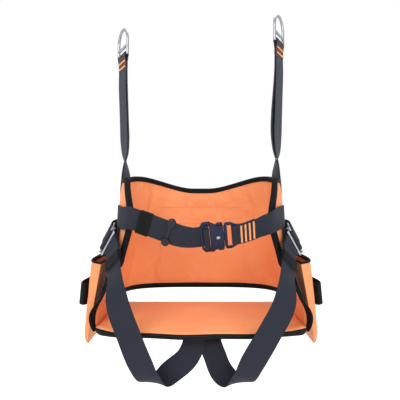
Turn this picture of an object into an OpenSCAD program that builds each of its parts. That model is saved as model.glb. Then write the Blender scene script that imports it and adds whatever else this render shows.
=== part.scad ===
// Soft bosun's chair: a fabric seat and back slung from two rings by webbing, with a
// waist belt, a quick release buckle, two leg loops and two side pouches.
// Millimetres, +Z up, +Y to the back, origin midway between the two ring eyes.

/* [Seat] */
// Width of the seat between its sides
seat_w = 416; // [390:1:450]
// Depth of the seat from front to rear
seat_d = 240; // [222:1:262]
// Thickness of the seat at its edge
seat_t = 14; // [12:0.5:20]
// How far the front edge bows forward at its middle
seat_bow = 18; // [8:1:26]
// Thickness of the board inside the seat
board_t = 8; // [5:0.5:9]

/* [Back] */
// Inside width at the belt
waist_w = 336; // [310:1:360]
// Inside reach from the hips to the back
waist_d = 130; // [116:1:146]
// Thickness of the padded back
panel_t = 8; // [6:0.5:12]
// Height of the belt above the seat
belt_z = 217; // [205:1:232]
// Height of the back at its middle
back_top = 279; // [270:1:300]
// How far the ears stand above the middle of the back
ear_rise = 27; // [15:1:36]
// Open gap between the seat and the back
slot_gap = 32; // [24:1:40]
// Width of the edge binding
bind_w = 12; // [9:0.5:15]

/* [Webbing] */
// Width of the webbing
web_w = 45; // [42:1:50]
// Thickness of the webbing
web_t = 2.2; // [1.6:0.1:2.6]

/* [Suspension] */
// Height of the ring eyes above the seat
seat_drop = 648; // [580:1:720]
// How much higher the right ring hangs
ring_offset = 31; // [0:1:45]
// Wire of the rings
ring_wire = 6.5; // [5:0.25:8]
// Half of the distance between the rings
ring_x = 177; // [168:1:188]
// Turn of each ring about the vertical
ring_turn = 60; // [45:1:75]

/* [Leg loops] */
// How far the leg loops hang below the seat
leg_drop = 92; // [80:1:110]
// How far forward the leg loops reach
leg_reach = 155; // [148:1:170]

/* [Buckle] */
// Thickness of each buckle plate
plate_t = 2; // [1.5:0.1:2.5]
// Drop of the buckle below the belt
belt_sag = 41; // [30:1:50]
// Forward lean of the buckle
buckle_tilt = 30; // [15:1:38]
// Rise of the buckle to the right
buckle_roll = 7; // [0:1:12]

/* [Pouches] */
// Length of a pouch from front to back
pouch_l = 150; // [120:1:165]
// Height of a pouch
pouch_h = 172; // [140:1:190]
// Thickness of a pouch at its mouth
pouch_t = 26; // [20:1:34]
// Outward lean of a pouch
pouch_lean = 10; // [6:1:12]

/* [Fits] */
// Gap between pieces sewn to each other
sewn = 0.3; // [0.2:0.05:0.4]
// Gap between moving pieces
run = 0.4; // [0.3:0.05:0.6]

/* [Hidden] */

orange = [0.95, 0.5, 0.28];
navy = [0.2, 0.22, 0.26];
black = [0.07, 0.07, 0.08];
steel = [0.75, 0.76, 0.77];

// Vector helpers
function unit(v) = v / norm(v);
function mix(a, b, t) = a + (b - a) * t;
function ease(t) = let (c = min(max(t, 0), 1)) c * c * (3 - 2 * c);
function flip(p) = [-p[0], p[1], p[2]];

// Levels that several pieces share
seat_front = -seat_d / 2 - 10 + seat_bow;
seat_rear = seat_d / 2 - 10;
seat_r = 22;
ear_z = back_top + ear_rise;
side_low = belt_z - 104;
side_top = ear_z - 9;
belt_v = (belt_z - side_low) / (side_top - side_low);
slot_a = 72;
low_a = 118;
wrap_a = 125.5;
ear_a = 119;
wing_t = 2.5;
leg_off = panel_t + sewn + web_t / 2;
edge_off = leg_off + 1.8;
belt_off = leg_off + 1;

// Plan of the back: half width, half depth and squareness at a height
function low_share(z) = max(0, (belt_z - z) / belt_z);
function high_share(z) = max(0, (z - belt_z) / (ear_z - belt_z));
function half_w(z) = waist_w / 2 + 22 * pow(low_share(z), 1.6) - 9 * pow(high_share(z), 1.6);
function half_d(z) = waist_d + 6 * (z - belt_z) / 100;
function squareness(z) = 2.4 + 1.4 * pow(low_share(z), 1.2);
function plan_r(a, z) = let (m = squareness(z))
  pow(pow(abs(sin(a)) / half_w(z), m) + pow(abs(cos(a)) / half_d(z), m), -1 / m);
function plan_n(a, z) = let (m = squareness(z), r = plan_r(a, z))
  unit([sign(sin(a)) * pow(r * abs(sin(a)) / half_w(z), m - 1) / half_w(z),
        sign(cos(a)) * pow(r * abs(cos(a)) / half_d(z), m - 1) / half_d(z), 0]);
function on_back(a, z, off) = let (r = plan_r(a, z)) [r * sin(a), r * cos(a), z] + off * plan_n(a, z);
function around(a, z) = let (n = plan_n(a, z)) [n[1], -n[0], 0];

// Edges of the back panel
function low_z(a) = slot_gap + (side_low - slot_gap) * ease((abs(a) - slot_a) / (low_a - slot_a));
function top_z(a) = back_top + ear_rise * ease((abs(a) - 8) / 54) - 9 * ease((abs(a) - 62) / 39);
function front_a(v) = v < belt_v ? mix(low_a, wrap_a, ease(v / belt_v))
  : mix(wrap_a, ear_a, ease((v - belt_v) / (1 - belt_v)));
function panel(u, v, off) = let (a = (2 * u - 1) * front_a(v)) on_back(a, mix(low_z(a), top_z(a), v), off);
function edge_u(d) = d / 725;
function edge_v(u, d) = let (a = (2 * u - 1) * wrap_a) d / (top_z(a) - low_z(a));

// Side wing between the back panel and the seat, from its rear to its front
function wing_y(u) = mix(seat_rear - 48, seat_front + 18, u);
function wing_face(u, v) = let (a = mix(slot_a, low_a, u))
  (1 - v) * (1 - v) * [seat_w / 2 + sewn, wing_y(u), 3 - seat_t]
  + 2 * v * (1 - v) * [seat_w / 2 + 3, mix(wing_y(u), wing_y(u) + 8, u), mix(14, 52, u)]
  + v * v * on_back(a, low_z(a) - 3.4, panel_t - wing_t);
function wing_n(u, v) = unit(cross(wing_face(u, v + 0.01) - wing_face(u, v - 0.01),
  wing_face(u + 0.01, v) - wing_face(u - 0.01, v)));
function wing(u, v, off) = wing_face(u, v) + off * wing_n(u, v);

// A smooth line through stations of a point, a width direction and a lift off the line
function bend(b, c, m, n, t) = b * (2 * t * t * t - 3 * t * t + 1) + m * (t * t * t - 2 * t * t + t)
  + c * (3 * t * t - 2 * t * t * t) + n * (t * t * t - t * t);
function slope(a, b, c, l0, l1) = l0 == 0 || l1 == 0 ? (c - a) / (l0 + l1)
  : ((b - a) * l1 / l0 + (c - b) * l0 / l1) / (l0 + l1);
function curve(a, b, c, d, l, t) =
  bend(b, c, slope(a, b, c, l[0], l[1]) * l[1], slope(b, c, d, l[1], l[2]) * l[1], t);
function lift(q) = len(q) > 2 ? q[2] : 0;
function fine(s, k) = let (n = len(s)) concat([for (i = [0:n - 2]) for (j = [0:k - 1])
  let (a = s[max(i - 1, 0)], b = s[i], c = s[i + 1], d = s[min(i + 2, n - 1)],
       l = [norm(b[0] - a[0]), norm(c[0] - b[0]), norm(d[0] - c[0])])
  [curve(a[0], b[0], c[0], d[0], l, j / k), curve(a[1], b[1], c[1], d[1], l, j / k),
   curve(lift(a), lift(b), lift(c), lift(d), l, j / k)]],
  [[s[n - 1][0], s[n - 1][1], lift(s[n - 1])]]);
function corners(s, w, t) = let (n = len(s)) [for (i = [0:n - 1])
  let (g = unit(s[min(i + 1, n - 1)][0] - s[max(i - 1, 0)][0]),
       a = unit(s[i][1] - g * (s[i][1] * g)), b = cross(g, a))
  for (k = [[1, 1], [-1, 1], [-1, -1], [1, -1]]) s[i][0] + a * k[0] * w / 2 + b * (s[i][2] + k[1] * t / 2)];

// Webbing along stations, with the same diagonals on its two faces
module ribbon(stations, k = 4, w = web_w, t = web_t) {
  s = fine(stations, k);
  n = len(s);
  sides = [for (i = [0:n - 2]) for (j = [0:3]) let (m = (j + 1) % 4,
      q = [4 * i + j, 4 * i + 4 + j, 4 * i + 4 + m, 4 * i + m], plain = (i < (n - 1) / 2) == (j < 2))
    for (f = plain ? [[q[0], q[1], q[2]], [q[0], q[2], q[3]]] : [[q[0], q[1], q[3]], [q[1], q[2], q[3]]]) f];
  ends = [[0, 1, 2], [0, 2, 3], [4 * n - 1, 4 * n - 2, 4 * n - 3], [4 * n - 1, 4 * n - 3, 4 * n - 4]];
  polyhedron(corners(s, w, t), concat(sides, ends));
}

// A sheet with an inner and an outer grid of points
module sheet(inner, outer) {
  r = len(inner);
  c = len(inner[0]);
  pts = concat([for (row = inner) for (p = row) p], [for (row = outer) for (p = row) p]);
  quads = concat(
    [for (i = [0:r - 2]) for (j = [0:c - 2]) let (o = r * c + i * c + j) [o, o + 1, o + c + 1, o + c]],
    [for (i = [0:r - 2]) for (j = [0:c - 2]) let (o = i * c + j) [o, o + c, o + c + 1, o + 1]],
    [for (j = [0:c - 2]) [r * c + j + 1, r * c + j, j, j + 1]],
    [for (j = [0:c - 2]) let (o = (r - 1) * c + j) [r * c + o, r * c + o + 1, o + 1, o]],
    [for (i = [0:r - 2]) let (o = i * c) [r * c + o, r * c + o + c, o + c, o]],
    [for (i = [0:r - 2]) let (o = i * c + c - 1) [r * c + o + c, r * c + o, o, o + c]]);
  polyhedron(pts, [for (q = quads) for (f = [[q[0], q[1], q[2]], [q[0], q[2], q[3]]]) f]);
}

// A closed band whose cross-section has four points at each station
module band(sections) {
  n = len(sections);
  pts = [for (s = sections) for (p = s) p];
  polyhedron(pts, [for (i = [0:n - 1]) for (j = [0:3]) let (m = (j + 1) % 4, o = 4 * ((i + 1) % n))
    for (f = [[4 * i + j, o + j, o + m], [4 * i + j, o + m, 4 * i + m]]) f]);
}

// Everything below is set out from the seat and then hung from the ring eyes
module hung() translate([0, 0, -seat_drop]) children();
module left() mirror([1, 0, 0]) children();

// Back panel, its binding and the sewn patch behind it
module back_panel() {
  d = edge_u(bind_w + 2.5 * sewn);
  us = [for (i = [0:42]) mix(d, 1 - d, i / 42)];
  vs = [for (i = [0:12]) i / 12];
  function v_in(u, v) = let (e = edge_v(u, bind_w + 2.5 * sewn)) mix(e, 1 - e, v);
  color(orange) hung() sheet([for (v = vs) [for (u = us) panel(u, v_in(u, v), 0)]],
    [for (v = vs) [for (u = us) panel(u, v_in(u, v), panel_t)]]);
}

function turn(u, v, ru, rv, a) = [u + ru * cos(a), v + rv * sin(a)];
function rim(d, r) = let (e = edge_u(d), x = edge_u(r), f0 = edge_v(0, d), y = edge_v(0, r)) concat(
  [for (i = [1:43]) let (u = mix(e + x, 1 - e - x, i / 44)) [u, edge_v(u, d)]],
  [for (a = [-90:30:0]) turn(1 - e - x, f0 + y, x, y, a)],
  [for (i = [1:15]) [1 - e, mix(f0 + y, 1 - f0 - y, i / 16)]],
  [for (a = [0:30:90]) turn(1 - e - x, 1 - f0 - y, x, y, a)],
  [for (i = [1:43]) let (u = mix(1 - e - x, e + x, i / 44)) [u, 1 - edge_v(u, d)]],
  [for (a = [90:30:180]) turn(e + x, 1 - f0 - y, x, y, a)],
  [for (i = [1:15]) [e, mix(1 - f0 - y, f0 + y, i / 16)]],
  [for (a = [180:30:270]) turn(e + x, f0 + y, x, y, a)]);

module back_binding() {
  a = rim(0, 16);
  b = rim(bind_w, 2);
  function at(q, off) = panel(q[0], q[1], off);
  color(black) hung() band([for (i = [0:len(a) - 1])
    [at(b[i], -1), at(a[i], -1), at(a[i], panel_t + 1), at(b[i], panel_t + 1)]]);
}

module back_patch() {
  z0 = belt_z + web_w / 2 + 2;
  z1 = back_top - bind_w - 3;
  function at(x, z, off) = on_back(atan2(x, half_d(z)), z, off);
  rows = [for (i = [0:2]) mix(z0, z1, i / 2)];
  cols = [for (i = [0:6]) i / 3 - 1];
  color(orange) hung() sheet(
    [for (i = [0:2]) [for (c = cols) at(c * mix(40, 27, i / 2), rows[i], panel_t + sewn + 0.1)]],
    [for (i = [0:2]) [for (c = cols) at(c * mix(40, 27, i / 2), rows[i], panel_t + sewn + 1.2)]]);
}

// Seat outline, drawn in by an inset
function arc(x, y, r, a0, a1) = [for (i = [0:6]) let (a = mix(a0, a1, i / 6))
  [x + r * cos(a), y + r * sin(a)]];
function seat_line(i) = let (x = seat_w / 2 - seat_r, r = max(seat_r - i, 4), k = seat_r - i - r) concat(
  arc(x + k, seat_rear - seat_r + k, r, 0, 90), arc(-x - k, seat_rear - seat_r + k, r, 90, 180),
  arc(-x - k, seat_front + seat_r - k, r, 180, 270),
  [for (j = [1:9]) let (t = j / 5 - 1) [t * (x + k), seat_front + i - seat_bow * (1 - t * t)]],
  arc(x + k, seat_front + seat_r - k, r, 270, 360));

module seat_cover() {
  levels = [[-seat_t, 8], [1 - seat_t, 4], [3 - seat_t, 2], [-3, 2], [-1, 4], [0, 8], [2.5, 30], [4, 70]];
  rings = [for (l = levels) [for (p = seat_line(l[1])) [p[0], p[1], l[0]]]];
  n = len(rings[0]);
  m = len(levels);
  sides = [for (i = [0:m - 2]) for (j = [0:n - 1]) let (k = (j + 1) % n)
    for (f = [[i * n + j, i * n + n + j, i * n + n + k], [i * n + j, i * n + n + k, i * n + k]]) f];
  color(orange) hung() difference() {
    polyhedron([for (r = rings) for (p = r) p], concat(sides, [[for (j = [0:n - 1]) j]],
      [[for (j = [0:n - 1]) m * n - 1 - j]]));
    translate([0, 0, -seat_t / 2 - board_t / 2 - sewn]) linear_extrude(board_t + 2 * sewn)
      polygon(seat_line(14 - sewn));
  }
}

module seat_board() color([0.8, 0.65, 0.45]) hung()
  translate([0, 0, -seat_t / 2 - board_t / 2]) linear_extrude(board_t) polygon(seat_line(14));

module seat_binding() color(black) hung() translate([0, 0, 1 - seat_t])
  linear_extrude(seat_t - 2) difference() {
  polygon(seat_line(0));
  polygon(seat_line(2 - sewn));
}

// Side wings and the bindings of their open edges
wing_in = 0.08;
module wing_sheet(u0, u1, off, t, n) hung() sheet(
  [for (i = [0:8]) [for (j = [0:n]) wing(mix(u0, u1, j / n), i / 8, off)]],
  [for (i = [0:8]) [for (j = [0:n]) wing(mix(u0, u1, j / n), i / 8, off + t)]]);
module wing_piece() color(orange) wing_sheet(wing_in + 0.003, 1 - wing_in - 0.003, 0, wing_t, 12);
module wing_front() color(black) wing_sheet(1 - wing_in, 1, 0, wing_t + 1, 2);
module wing_rear() color(black) wing_sheet(0, wing_in, 0, wing_t + 1, 2);
module right_wing() wing_piece();
module left_wing() left() wing_piece();
module right_wing_binding() wing_front();
module left_wing_binding() left() wing_front();
module right_slot_binding() wing_rear();
module left_slot_binding() left() wing_rear();

// Webbing that runs under the seat from hip to hip
function sling_top(u) = on_back(mix(slot_a, low_a, u), belt_z - 85, leg_off + 1.5);
function sling_low(u) = [seat_w / 2 + wing_t + 4.4, wing_y(u), 4];
function sling_at(u, z) = let (p = sling_top(u), q = sling_low(u), t = (p[2] - z) / (p[2] - q[2]))
  mix(p, q, t) + [16 * u * t * (1 - t), 0, 0];
function sling_side(u) = let (a = mix(slot_a, low_a, u), y = wing_y(u), under = -seat_t - sewn - web_t / 2,
  top = belt_z - web_w / 2 - 2) [
  [on_back(a, top, leg_off + 0.3), around(a, top)],
  [on_back(a, belt_z - 55, leg_off + 0.8), around(a, belt_z - 55)],
  [sling_top(u), around(a, belt_z - 85)], [sling_at(u, 92), mix(around(a, 92), [0, -1, 0], 0.5)],
  [sling_at(u, 50), [0, -1, 0]], [sling_low(u), [0, -1, 0]],
  [[seat_w / 2 + wing_t + 3.4, y, -seat_t + 5], [0, -1, 0]],
  [[seat_w / 2 + wing_t + 0.6, y, under + 1], [0, -1, 0]],
  [[seat_w / 2 - 6, y, under], [0, -1, 0]], [[seat_w / 2 - 16, y, under], [0, -1, 0]]];
module sling(u) {
  s = sling_side(u);
  n = len(s);
  color(navy) hung() ribbon(concat(s, [for (i = [n - 1:-1:0]) [flip(s[i][0]), flip(s[i][1])]]), 3);
}
module front_sling() sling(0.73);
module rear_sling() sling(0.24);

// Rings: webbing bar at the bottom, crossbar above it and a round bow
ring_half = web_w / 2 + 3 + ring_wire / 2;
ring_side = 31;
ring_eye = ring_side + ring_half - ring_wire / 2;
ring_y = 30;
function bar_z(s) = seat_drop + s * ring_offset / 2 - ring_eye;
module ring() {
  for (s = [-1, 1]) {
    translate([s * ring_half, 0, 0]) cylinder(h = ring_side, d = ring_wire, $fn = 48);
    translate([s * ring_half, 0, 0]) sphere(d = ring_wire, $fn = 48);
  }
  for (z = [0, 18]) translate([-ring_half, 0, z]) rotate([0, 90, 0])
    cylinder(h = 2 * ring_half, d = ring_wire, $fn = 48);
  translate([0, 0, ring_side]) rotate([90, 0, 0]) rotate_extrude(angle = 180, $fn = 96)
    translate([ring_half, 0]) circle(d = ring_wire, $fn = 48);
}
module placed_ring(s) color(steel) hung()
  translate([ring_x, ring_y, bar_z(s)]) rotate([0, 0, ring_turn]) ring();
module right_ring() placed_ring(1);
module left_ring() left() placed_ring(-1);

// Riser: one length of webbing from the hip round the ring bar and back to the hip
leg_a = 80;
module riser(s, slack) {
  c = [ring_x, ring_y, bar_z(s)];
  w = [-cos(ring_turn), -sin(ring_turn), 0];
  n = [sin(ring_turn), -cos(ring_turn), 0];
  r = ring_wire / 2 + run + web_t / 2;
  g = web_t / 2 + sewn / 2;
  top = top_z(leg_a);
  foot = belt_z + web_w / 2 + 2;
  levels = [[foot, leg_off, 0], [foot + 10, leg_off, 0],
    [top - bind_w - 6, edge_off, 0.5], [top + 4, edge_off, 1.5]];
  inner = [for (q = levels) [on_back(leg_a, q[0], q[1]), around(leg_a, q[0])]];
  outer = [for (i = [3:-1:0]) let (q = levels[i])
    [on_back(leg_a, q[0], q[1] + web_t + sewn + q[2]), around(leg_a, q[0])]];
  mid = (c + inner[3][0]) / 2;
  stub = [[6, r - 1], [18, g + 0.5], [40, g + 0.6], [64, g + 1.8]];
  loop = concat([for (i = [3:-1:0]) [c - n * stub[i][1] - [0, 0, stub[i][0]], w]],
    [for (a = [180:-30:0]) [c + n * r * cos(a) + [0, 0, r * sin(a)], w]],
    [for (q = stub) [c + n * q[1] - [0, 0, q[0]], w]]);
  color(navy) hung() ribbon(concat(inner, loop,
    [[mid + [slack, 4, 20], (w + around(leg_a, top)) / 2]], outer), 3);
}
module right_riser() riser(1, 20);
module left_riser() left() riser(-1, 9);

// Buckle frame: x along the belt, y to the back, z across the webbing
buckle_at = [0, -115, belt_z - belt_sag];
function bk_turn(p) = let (y = p[1] * cos(buckle_tilt) - p[2] * sin(buckle_tilt),
  z = p[1] * sin(buckle_tilt) + p[2] * cos(buckle_tilt))
  [p[0] * cos(buckle_roll) - z * sin(buckle_roll), y, p[0] * sin(buckle_roll) + z * cos(buckle_roll)];
function bk(x, y) = buckle_at + bk_turn([x, y, 0]);
bk_up = bk_turn([0, 0, 1]);
module in_buckle() hung() translate(buckle_at) rotate([buckle_tilt, -buckle_roll, 0]) children();
module flat(t) rotate([90, 0, 0]) linear_extrude(t, center = true) children();
slot_z = web_w / 2 + 1.5;
gap_y = 1.6;
base_y = gap_y + plate_t / 2;
frame_z = slot_z + 11;
pivot = [32, 20];
blade_t = 2 * gap_y - 0.8;

module body_shape(x0) intersection() {
  polygon([[0, -frame_z + 8], [6, -frame_z], [18, -frame_z], [27, -28], [44, -25], [44, 25], [27, 28],
    [18, frame_z], [6, frame_z], [0, frame_z - 8]]);
  translate([x0, -60]) square([80, 120]);
}
rivet_at = [pivot, [pivot[0], -pivot[1]], [33, 0]];
module rivet_holes() for (p = rivet_at) translate(p) circle(d = 4.04, $fn = 40);

module buckle_base() color(navy) in_buckle() translate([0, base_y, 0]) flat(plate_t) difference() {
  body_shape(0);
  translate([3.6, -slot_z]) square([13.9, 2 * slot_z]);
  rivet_holes();
}
module buckle_cover() color(navy) in_buckle() {
  translate([0, -base_y, 0]) flat(plate_t) difference() {
    body_shape(19);
    rivet_holes();
  }
  translate([20.2, -0.02, 0]) cube([2, 2 * gap_y, 34], center = true);
}
module stadium(l, t, h) {
  translate([0, 0, h / 2]) cube([l - t, t, h], center = true);
  for (s = [-1, 1]) translate([s * (l - t) / 2, 0, 0]) cylinder(h = h, d = t, $fn = 32);
}
module buckle_bar() color(steel) in_buckle()
  translate([11, gap_y - 1.75, -slot_z - 4]) stadium(6, 2.9, 2 * slot_z + 8);
module buckle_rivets() color(steel) in_buckle() for (p = rivet_at)
  translate([p[0], 0, p[1]]) rotate([90, 0, 0]) {
    cylinder(h = 2 * (gap_y + plate_t) + 0.2, d = 4, center = true, $fn = 40);
    for (s = [-1, 1]) translate([0, 0, s * (gap_y + plate_t + 0.5)])
      cylinder(h = 0.9, d = 7, center = true, $fn = 40);
  }

// Release clip: a lever on its rivet, with a pad outside and a hook beside the tongue
module clip_shape() difference() {
  union() {
    polygon([[25.6, 13.5], [29, 13.5], [30, 16], [34, 17], [36, 23], [43, 23.5], [43, 30], [41, 32], [33, 32],
      [29.5, 26], [27.5, 22], [25.6, 19]]);
    translate(pivot) circle(d = 9, $fn = 40);
  }
  translate(pivot) circle(d = 4.1, $fn = 40);
}
module clip() color(black) in_buckle() flat(2 * gap_y - 0.6) clip_shape();
module upper_clip() clip();
module lower_clip() color(black) in_buckle() mirror([0, 0, 1]) flat(2 * gap_y - 0.6) clip_shape();

// Tongue: forked blade and the loop that carries the belt
tongue_bar = 62;
module tongue() color(navy) in_buckle() {
  flat(blade_t) difference() {
    polygon([[23, -9], [25, -13], [25.2, -10], [46, -10], [46, 10], [25.2, 10], [25, 13], [23, 9]]);
    translate([20, -2.6]) square([16, 5.2]);
  }
  flat(3) difference() {
    polygon([[44.6, -22], [48, -slot_z - 6], [58, -slot_z - 6], [67, -slot_z - 1], [67, slot_z + 1],
      [58, slot_z + 6], [48, slot_z + 6], [44.6, 22]]);
    translate([51, -slot_z]) square([tongue_bar - 51, 2 * slot_z]);
  }
}

// Waist belt: sewn round the back, then free to the buckle on each side
split_a = 100;
leave_a = 118;
function rise(a) = unit(on_back(a, belt_z + 20, 0) - on_back(a, belt_z - 20, 0));
module belt_back() color(navy) hung() ribbon([for (i = [-10:10]) let (a = i * split_a / 10)
  [on_back(a, belt_z, belt_off), rise(a)]], 3);

// Straight run of the left half, where its keepers slide
run_at = [46 - waist_w / 2, -112, belt_z - 7];
run_dir = unit([0.94, -0.05, -0.337]);
run_up = unit([0.32, -0.31, 0.9] - run_dir * (run_dir * [0.32, -0.31, 0.9]));
run_back = cross(run_up, run_dir);
function along(s, off) = run_at + run_dir * s + run_back * off;
lay = (web_t + sewn) / 2;
// Where the belt leaves the back: angle, offset, drop and share of the free run's direction
wrap = [[split_a + 0.3, belt_off, 0, 0], [106, belt_off + 0.6, 0.3, 0.05], [112, edge_off + 1, 1.2, 0.2],
  [leave_a, edge_off + 1.8, 3, 0.45]];
function wrap_at(q) = [on_back(q[0], belt_z - q[2], q[1]), mix(rise(q[0]), flip(run_up), q[3])];
tail_y = gap_y + plate_t + sewn + web_t / 2;
main_y = tail_y + web_t + sewn;
module belt_left() color(navy) hung() ribbon(concat(
  [for (q = wrap) [flip(wrap_at(q)[0]), flip(wrap_at(q)[1])]],
  [[[27.3 - waist_w / 2, -103.9, belt_z - 1.6], mix(rise(-wrap_a), run_up, 0.84), -lay / 2]],
  [for (d = [-5.7, 5.4, 40, 74, 80]) [along(d, 0), run_up, -lay]],
  [for (x = [-14, 2]) [bk(x, main_y - lay), bk_up, -lay]],
  [for (p = [[10, main_y - 0.5], [14.4, 4.6], [15.8, 1.6], [15.7, -0.8], [14, -3],
    [11, -3.5], [8, -3], [6.3, -0.8], [6.2, 1.6], [5.5, 4.2]]) [bk(p[0], p[1]), bk_up]],
  [for (x = [2.5, -2, -14]) [bk(x, tail_y + lay), bk_up, -lay]],
  [for (d = [80, 74, 40, 1]) [along(d, 0), run_up, -lay]]), 3);

// Right half and its sewn loop on the tongue
function climb(x) = x > 75 ? (x - 75) * (x - 75) / (x - 63) : 0;
function right_at(x, off) = bk(x, off) + climb(x) * [0, 0.06, 0.28];
bar_off = 1.5 + sewn + web_t / 2;
end_x = 112;
loop_line = [[end_x - 4, lay], [94, lay], [78, lay], [71, lay + 0.8], [65, bar_off + 0.2],
  [61.2, bar_off - 0.2], [tongue_bar - 2.2, 0], [61.2, 0.2 - bar_off], [65, -bar_off - 0.2],
  [71, -lay - 0.8], [78, -lay], [94, -lay], [end_x, -lay]];
module belt_loop_end() color(navy) hung() ribbon([for (p = loop_line) [right_at(p[0], p[1]), bk_up]], 4);
module belt_right() color(navy) hung() ribbon(concat(
  [for (d = [3 * sewn, 22]) [right_at(end_x + d, -lay), mix(bk_up, [0, 0, 1], d / 60)]],
  [for (i = [3:-1:0]) wrap_at(wrap[i])]), 5);

// Keepers on the left half
module on_run(s) hung()
  multmatrix([for (i = [0:2]) [run_dir[i], run_back[i], run_up[i], along(s, 0)[i]]]) children();
module loop_band(l, w, t, wall) difference() {
  cube([l, t + 2 * wall, w + 2 * wall], center = true);
  cube([l + 1, t, w], center = true);
}
pack_t = 2 * web_t + sewn;
module belt_elastic() color(black) on_run(14) loop_band(25, web_w + 2 * run, pack_t + 2 * run, 1.2);
module knob(h) rotate([90, 0, 0]) cylinder(h = h, d = 16, center = true, $fn = 48);
module belt_clip() color(black) on_run(64) {
  loop_band(5, web_w + 2 * run, pack_t + 2 * run, 2);
  for (s = [-1, 1]) translate([0, 0, s * (web_w / 2 - 3)]) {
    translate([0, -pack_t / 2 - run - 2.2, 0]) knob(4);
    translate([0, pack_t / 2 + run + 1, 0]) knob(2);
  }
}

// Leg adjuster at the hip: a steel frame with a loose crossbar, x to the back, y across, z outward
hip_at = [waist_w / 2 + 19.3, -75.2, belt_z - 53.4];
hip_back = unit([0.181, 0.93, 0.351]);
hip_seed = [-0.546, -0.366, 0.837];
hip_up = unit(hip_seed - hip_back * (hip_back * hip_seed));
hip_out = cross(hip_back, hip_up);
adj_half = web_w / 2 + 6.5;
adj_rear = 40;
function hip(x, z) = hip_at + hip_back * x + hip_out * z;
function through(x, z) = [hip(x, z), hip_up];
module at_hip() hung()
  multmatrix([for (i = [0:2]) [hip_back[i], hip_up[i], hip_out[i], hip_at[i]]]) children();
module adjuster() color(steel) at_hip() linear_extrude(4, center = true) difference() {
  translate([-3, -adj_half]) square([adj_rear + 6, 2 * adj_half]);
  translate([3, 5 - adj_half]) square([adj_rear - 6, 2 * adj_half - 10]);
}
module adjuster_bar() color(steel) at_hip() {
  translate([12.25, adj_half + 2.4, 3.5 + run]) rotate([90, 0, 0]) stadium(5.5, 3, 2 * adj_half + 4.8);
  for (s = [-1, 1]) translate([10.5, s * (adj_half + 1.4) - 1, -2]) cube([3.5, 2, 5]);
}
module right_adjuster() adjuster();
module left_adjuster() left() adjuster();
module right_adjuster_bar() adjuster_bar();
module left_adjuster_bar() left() adjuster_bar();

// Hip loop: sewn to the webbing at the hip, round the rear bar of the adjuster
module hip_loop() {
  z = hip_at[2] + 22;
  far = leg_off + web_t + sewn + 3.2;
  b = 2 + run + web_t / 2;
  function at(a) = [on_back(a, z, far + lay), unit(on_back(a, z + 20, far) - on_back(a, z - 20, far)), lay];
  function near(x, y) = through(adj_rear + x, y);
  root = [at(76), at(84), [hip(adj_rear + 9, 0), hip_up, b + 0.3]];
  color(navy) hung() ribbon(concat(root, [near(0, -b), near(-4, 0.2 - b), near(-4.9, 0), near(-4, b - 0.2),
    near(0, b)], [for (i = [2:-1:0]) root[i]]), 4);
}
module right_hip_loop() hip_loop();
module left_hip_loop() left() hip_loop();

// Leg strap: under the seat, round the thigh, through the adjuster and back under its keeper
keep_at = [waist_w / 2 + 2.4, -107, belt_z - 84];
keep_dir = unit([-0.218, -0.782, -0.785]);
keep_seed = [-0.587, -0.438, 0.579];
keep_up = unit(keep_seed - keep_dir * (keep_dir * keep_seed));
keep_out = cross(keep_up, keep_dir);
function kept(s, off) = keep_at + keep_dir * s + keep_out * off;
function held(s) = [kept(s, 0), keep_up, -lay];
module leg_strap(x, x_mid, x_low, tuck) {
  under = -seat_t - 2 * sewn - 1.5 * web_t - 0.6 - tuck;
  d = -leg_drop;
  f = -leg_reach;
  over = [-0.85, 0, 0.53];
  color(navy) hung() ribbon(concat([
    [[x, -35, under], [-1, 0, 0]], [[x, tuck - 54, under], [-1, 0, 0]], [[x, tuck - 62, under], [-1, 0, 0]],
    [[x + 0.5, tuck - 78, under - 5], [-1, 0, -0.1]], [[x + 2, tuck - 88, d * 0.39], [-1, 0, -0.2]],
    [[x_mid, tuck - 96, d * 0.61], [-0.93, 0, -0.36]], [[x_low - 24, f + 46, d * 0.88], [-0.86, -0.2, -0.45]],
    [[x_low, f + 25, d], [-0.85, -0.52, 0]], [[x_low + 15, f + 6, d * 0.82], [-0.86, -0.3, 0.4]],
    [[x_low + 29, f, d * 0.5], [-0.855, 0, 0.52]], [[x_low / 2 + 92, f + 5, 4], over],
    [[153.6, f + 8.9, 60.3], mix(over, keep_up, 0.17)],
    [[162.2, f + 23.3, 104.9], mix(over, keep_up, 0.96), -0.2 * lay]],
    [for (q = [22.3, 16, -18, -25.9]) held(q)], [[hip(-8.3, -5.1), hip_up, -lay]],
    [through(0, -6.4), through(7, -5.9), through(14.5, -3), through(18, 1.4), through(17.2, 5.8),
    through(12.3, 7.4), through(7.2, 5.8), through(6, 1.4), through(5.2, -2.2), through(2.2, -3.8),
    through(-2, -3.8)], [[hip(-8.3, -5.1), hip_up, -lay]], [for (q = [-25.9, -18, 13]) held(q)]), 4);
}
module right_leg_strap() leg_strap(17, 27, 64, 2 * web_t);
module left_leg_strap() left() leg_strap(13, 25, 82, 0);
module leg_keeper() color(black) hung()
  multmatrix([for (i = [0:2]) [keep_dir[i], keep_out[i], keep_up[i], keep_at[i]]])
  loop_band(22, web_w + 2 * run, pack_t + 2 * run, 1.2);
module right_leg_keeper() leg_keeper();
module left_leg_keeper() left() leg_keeper();

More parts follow.
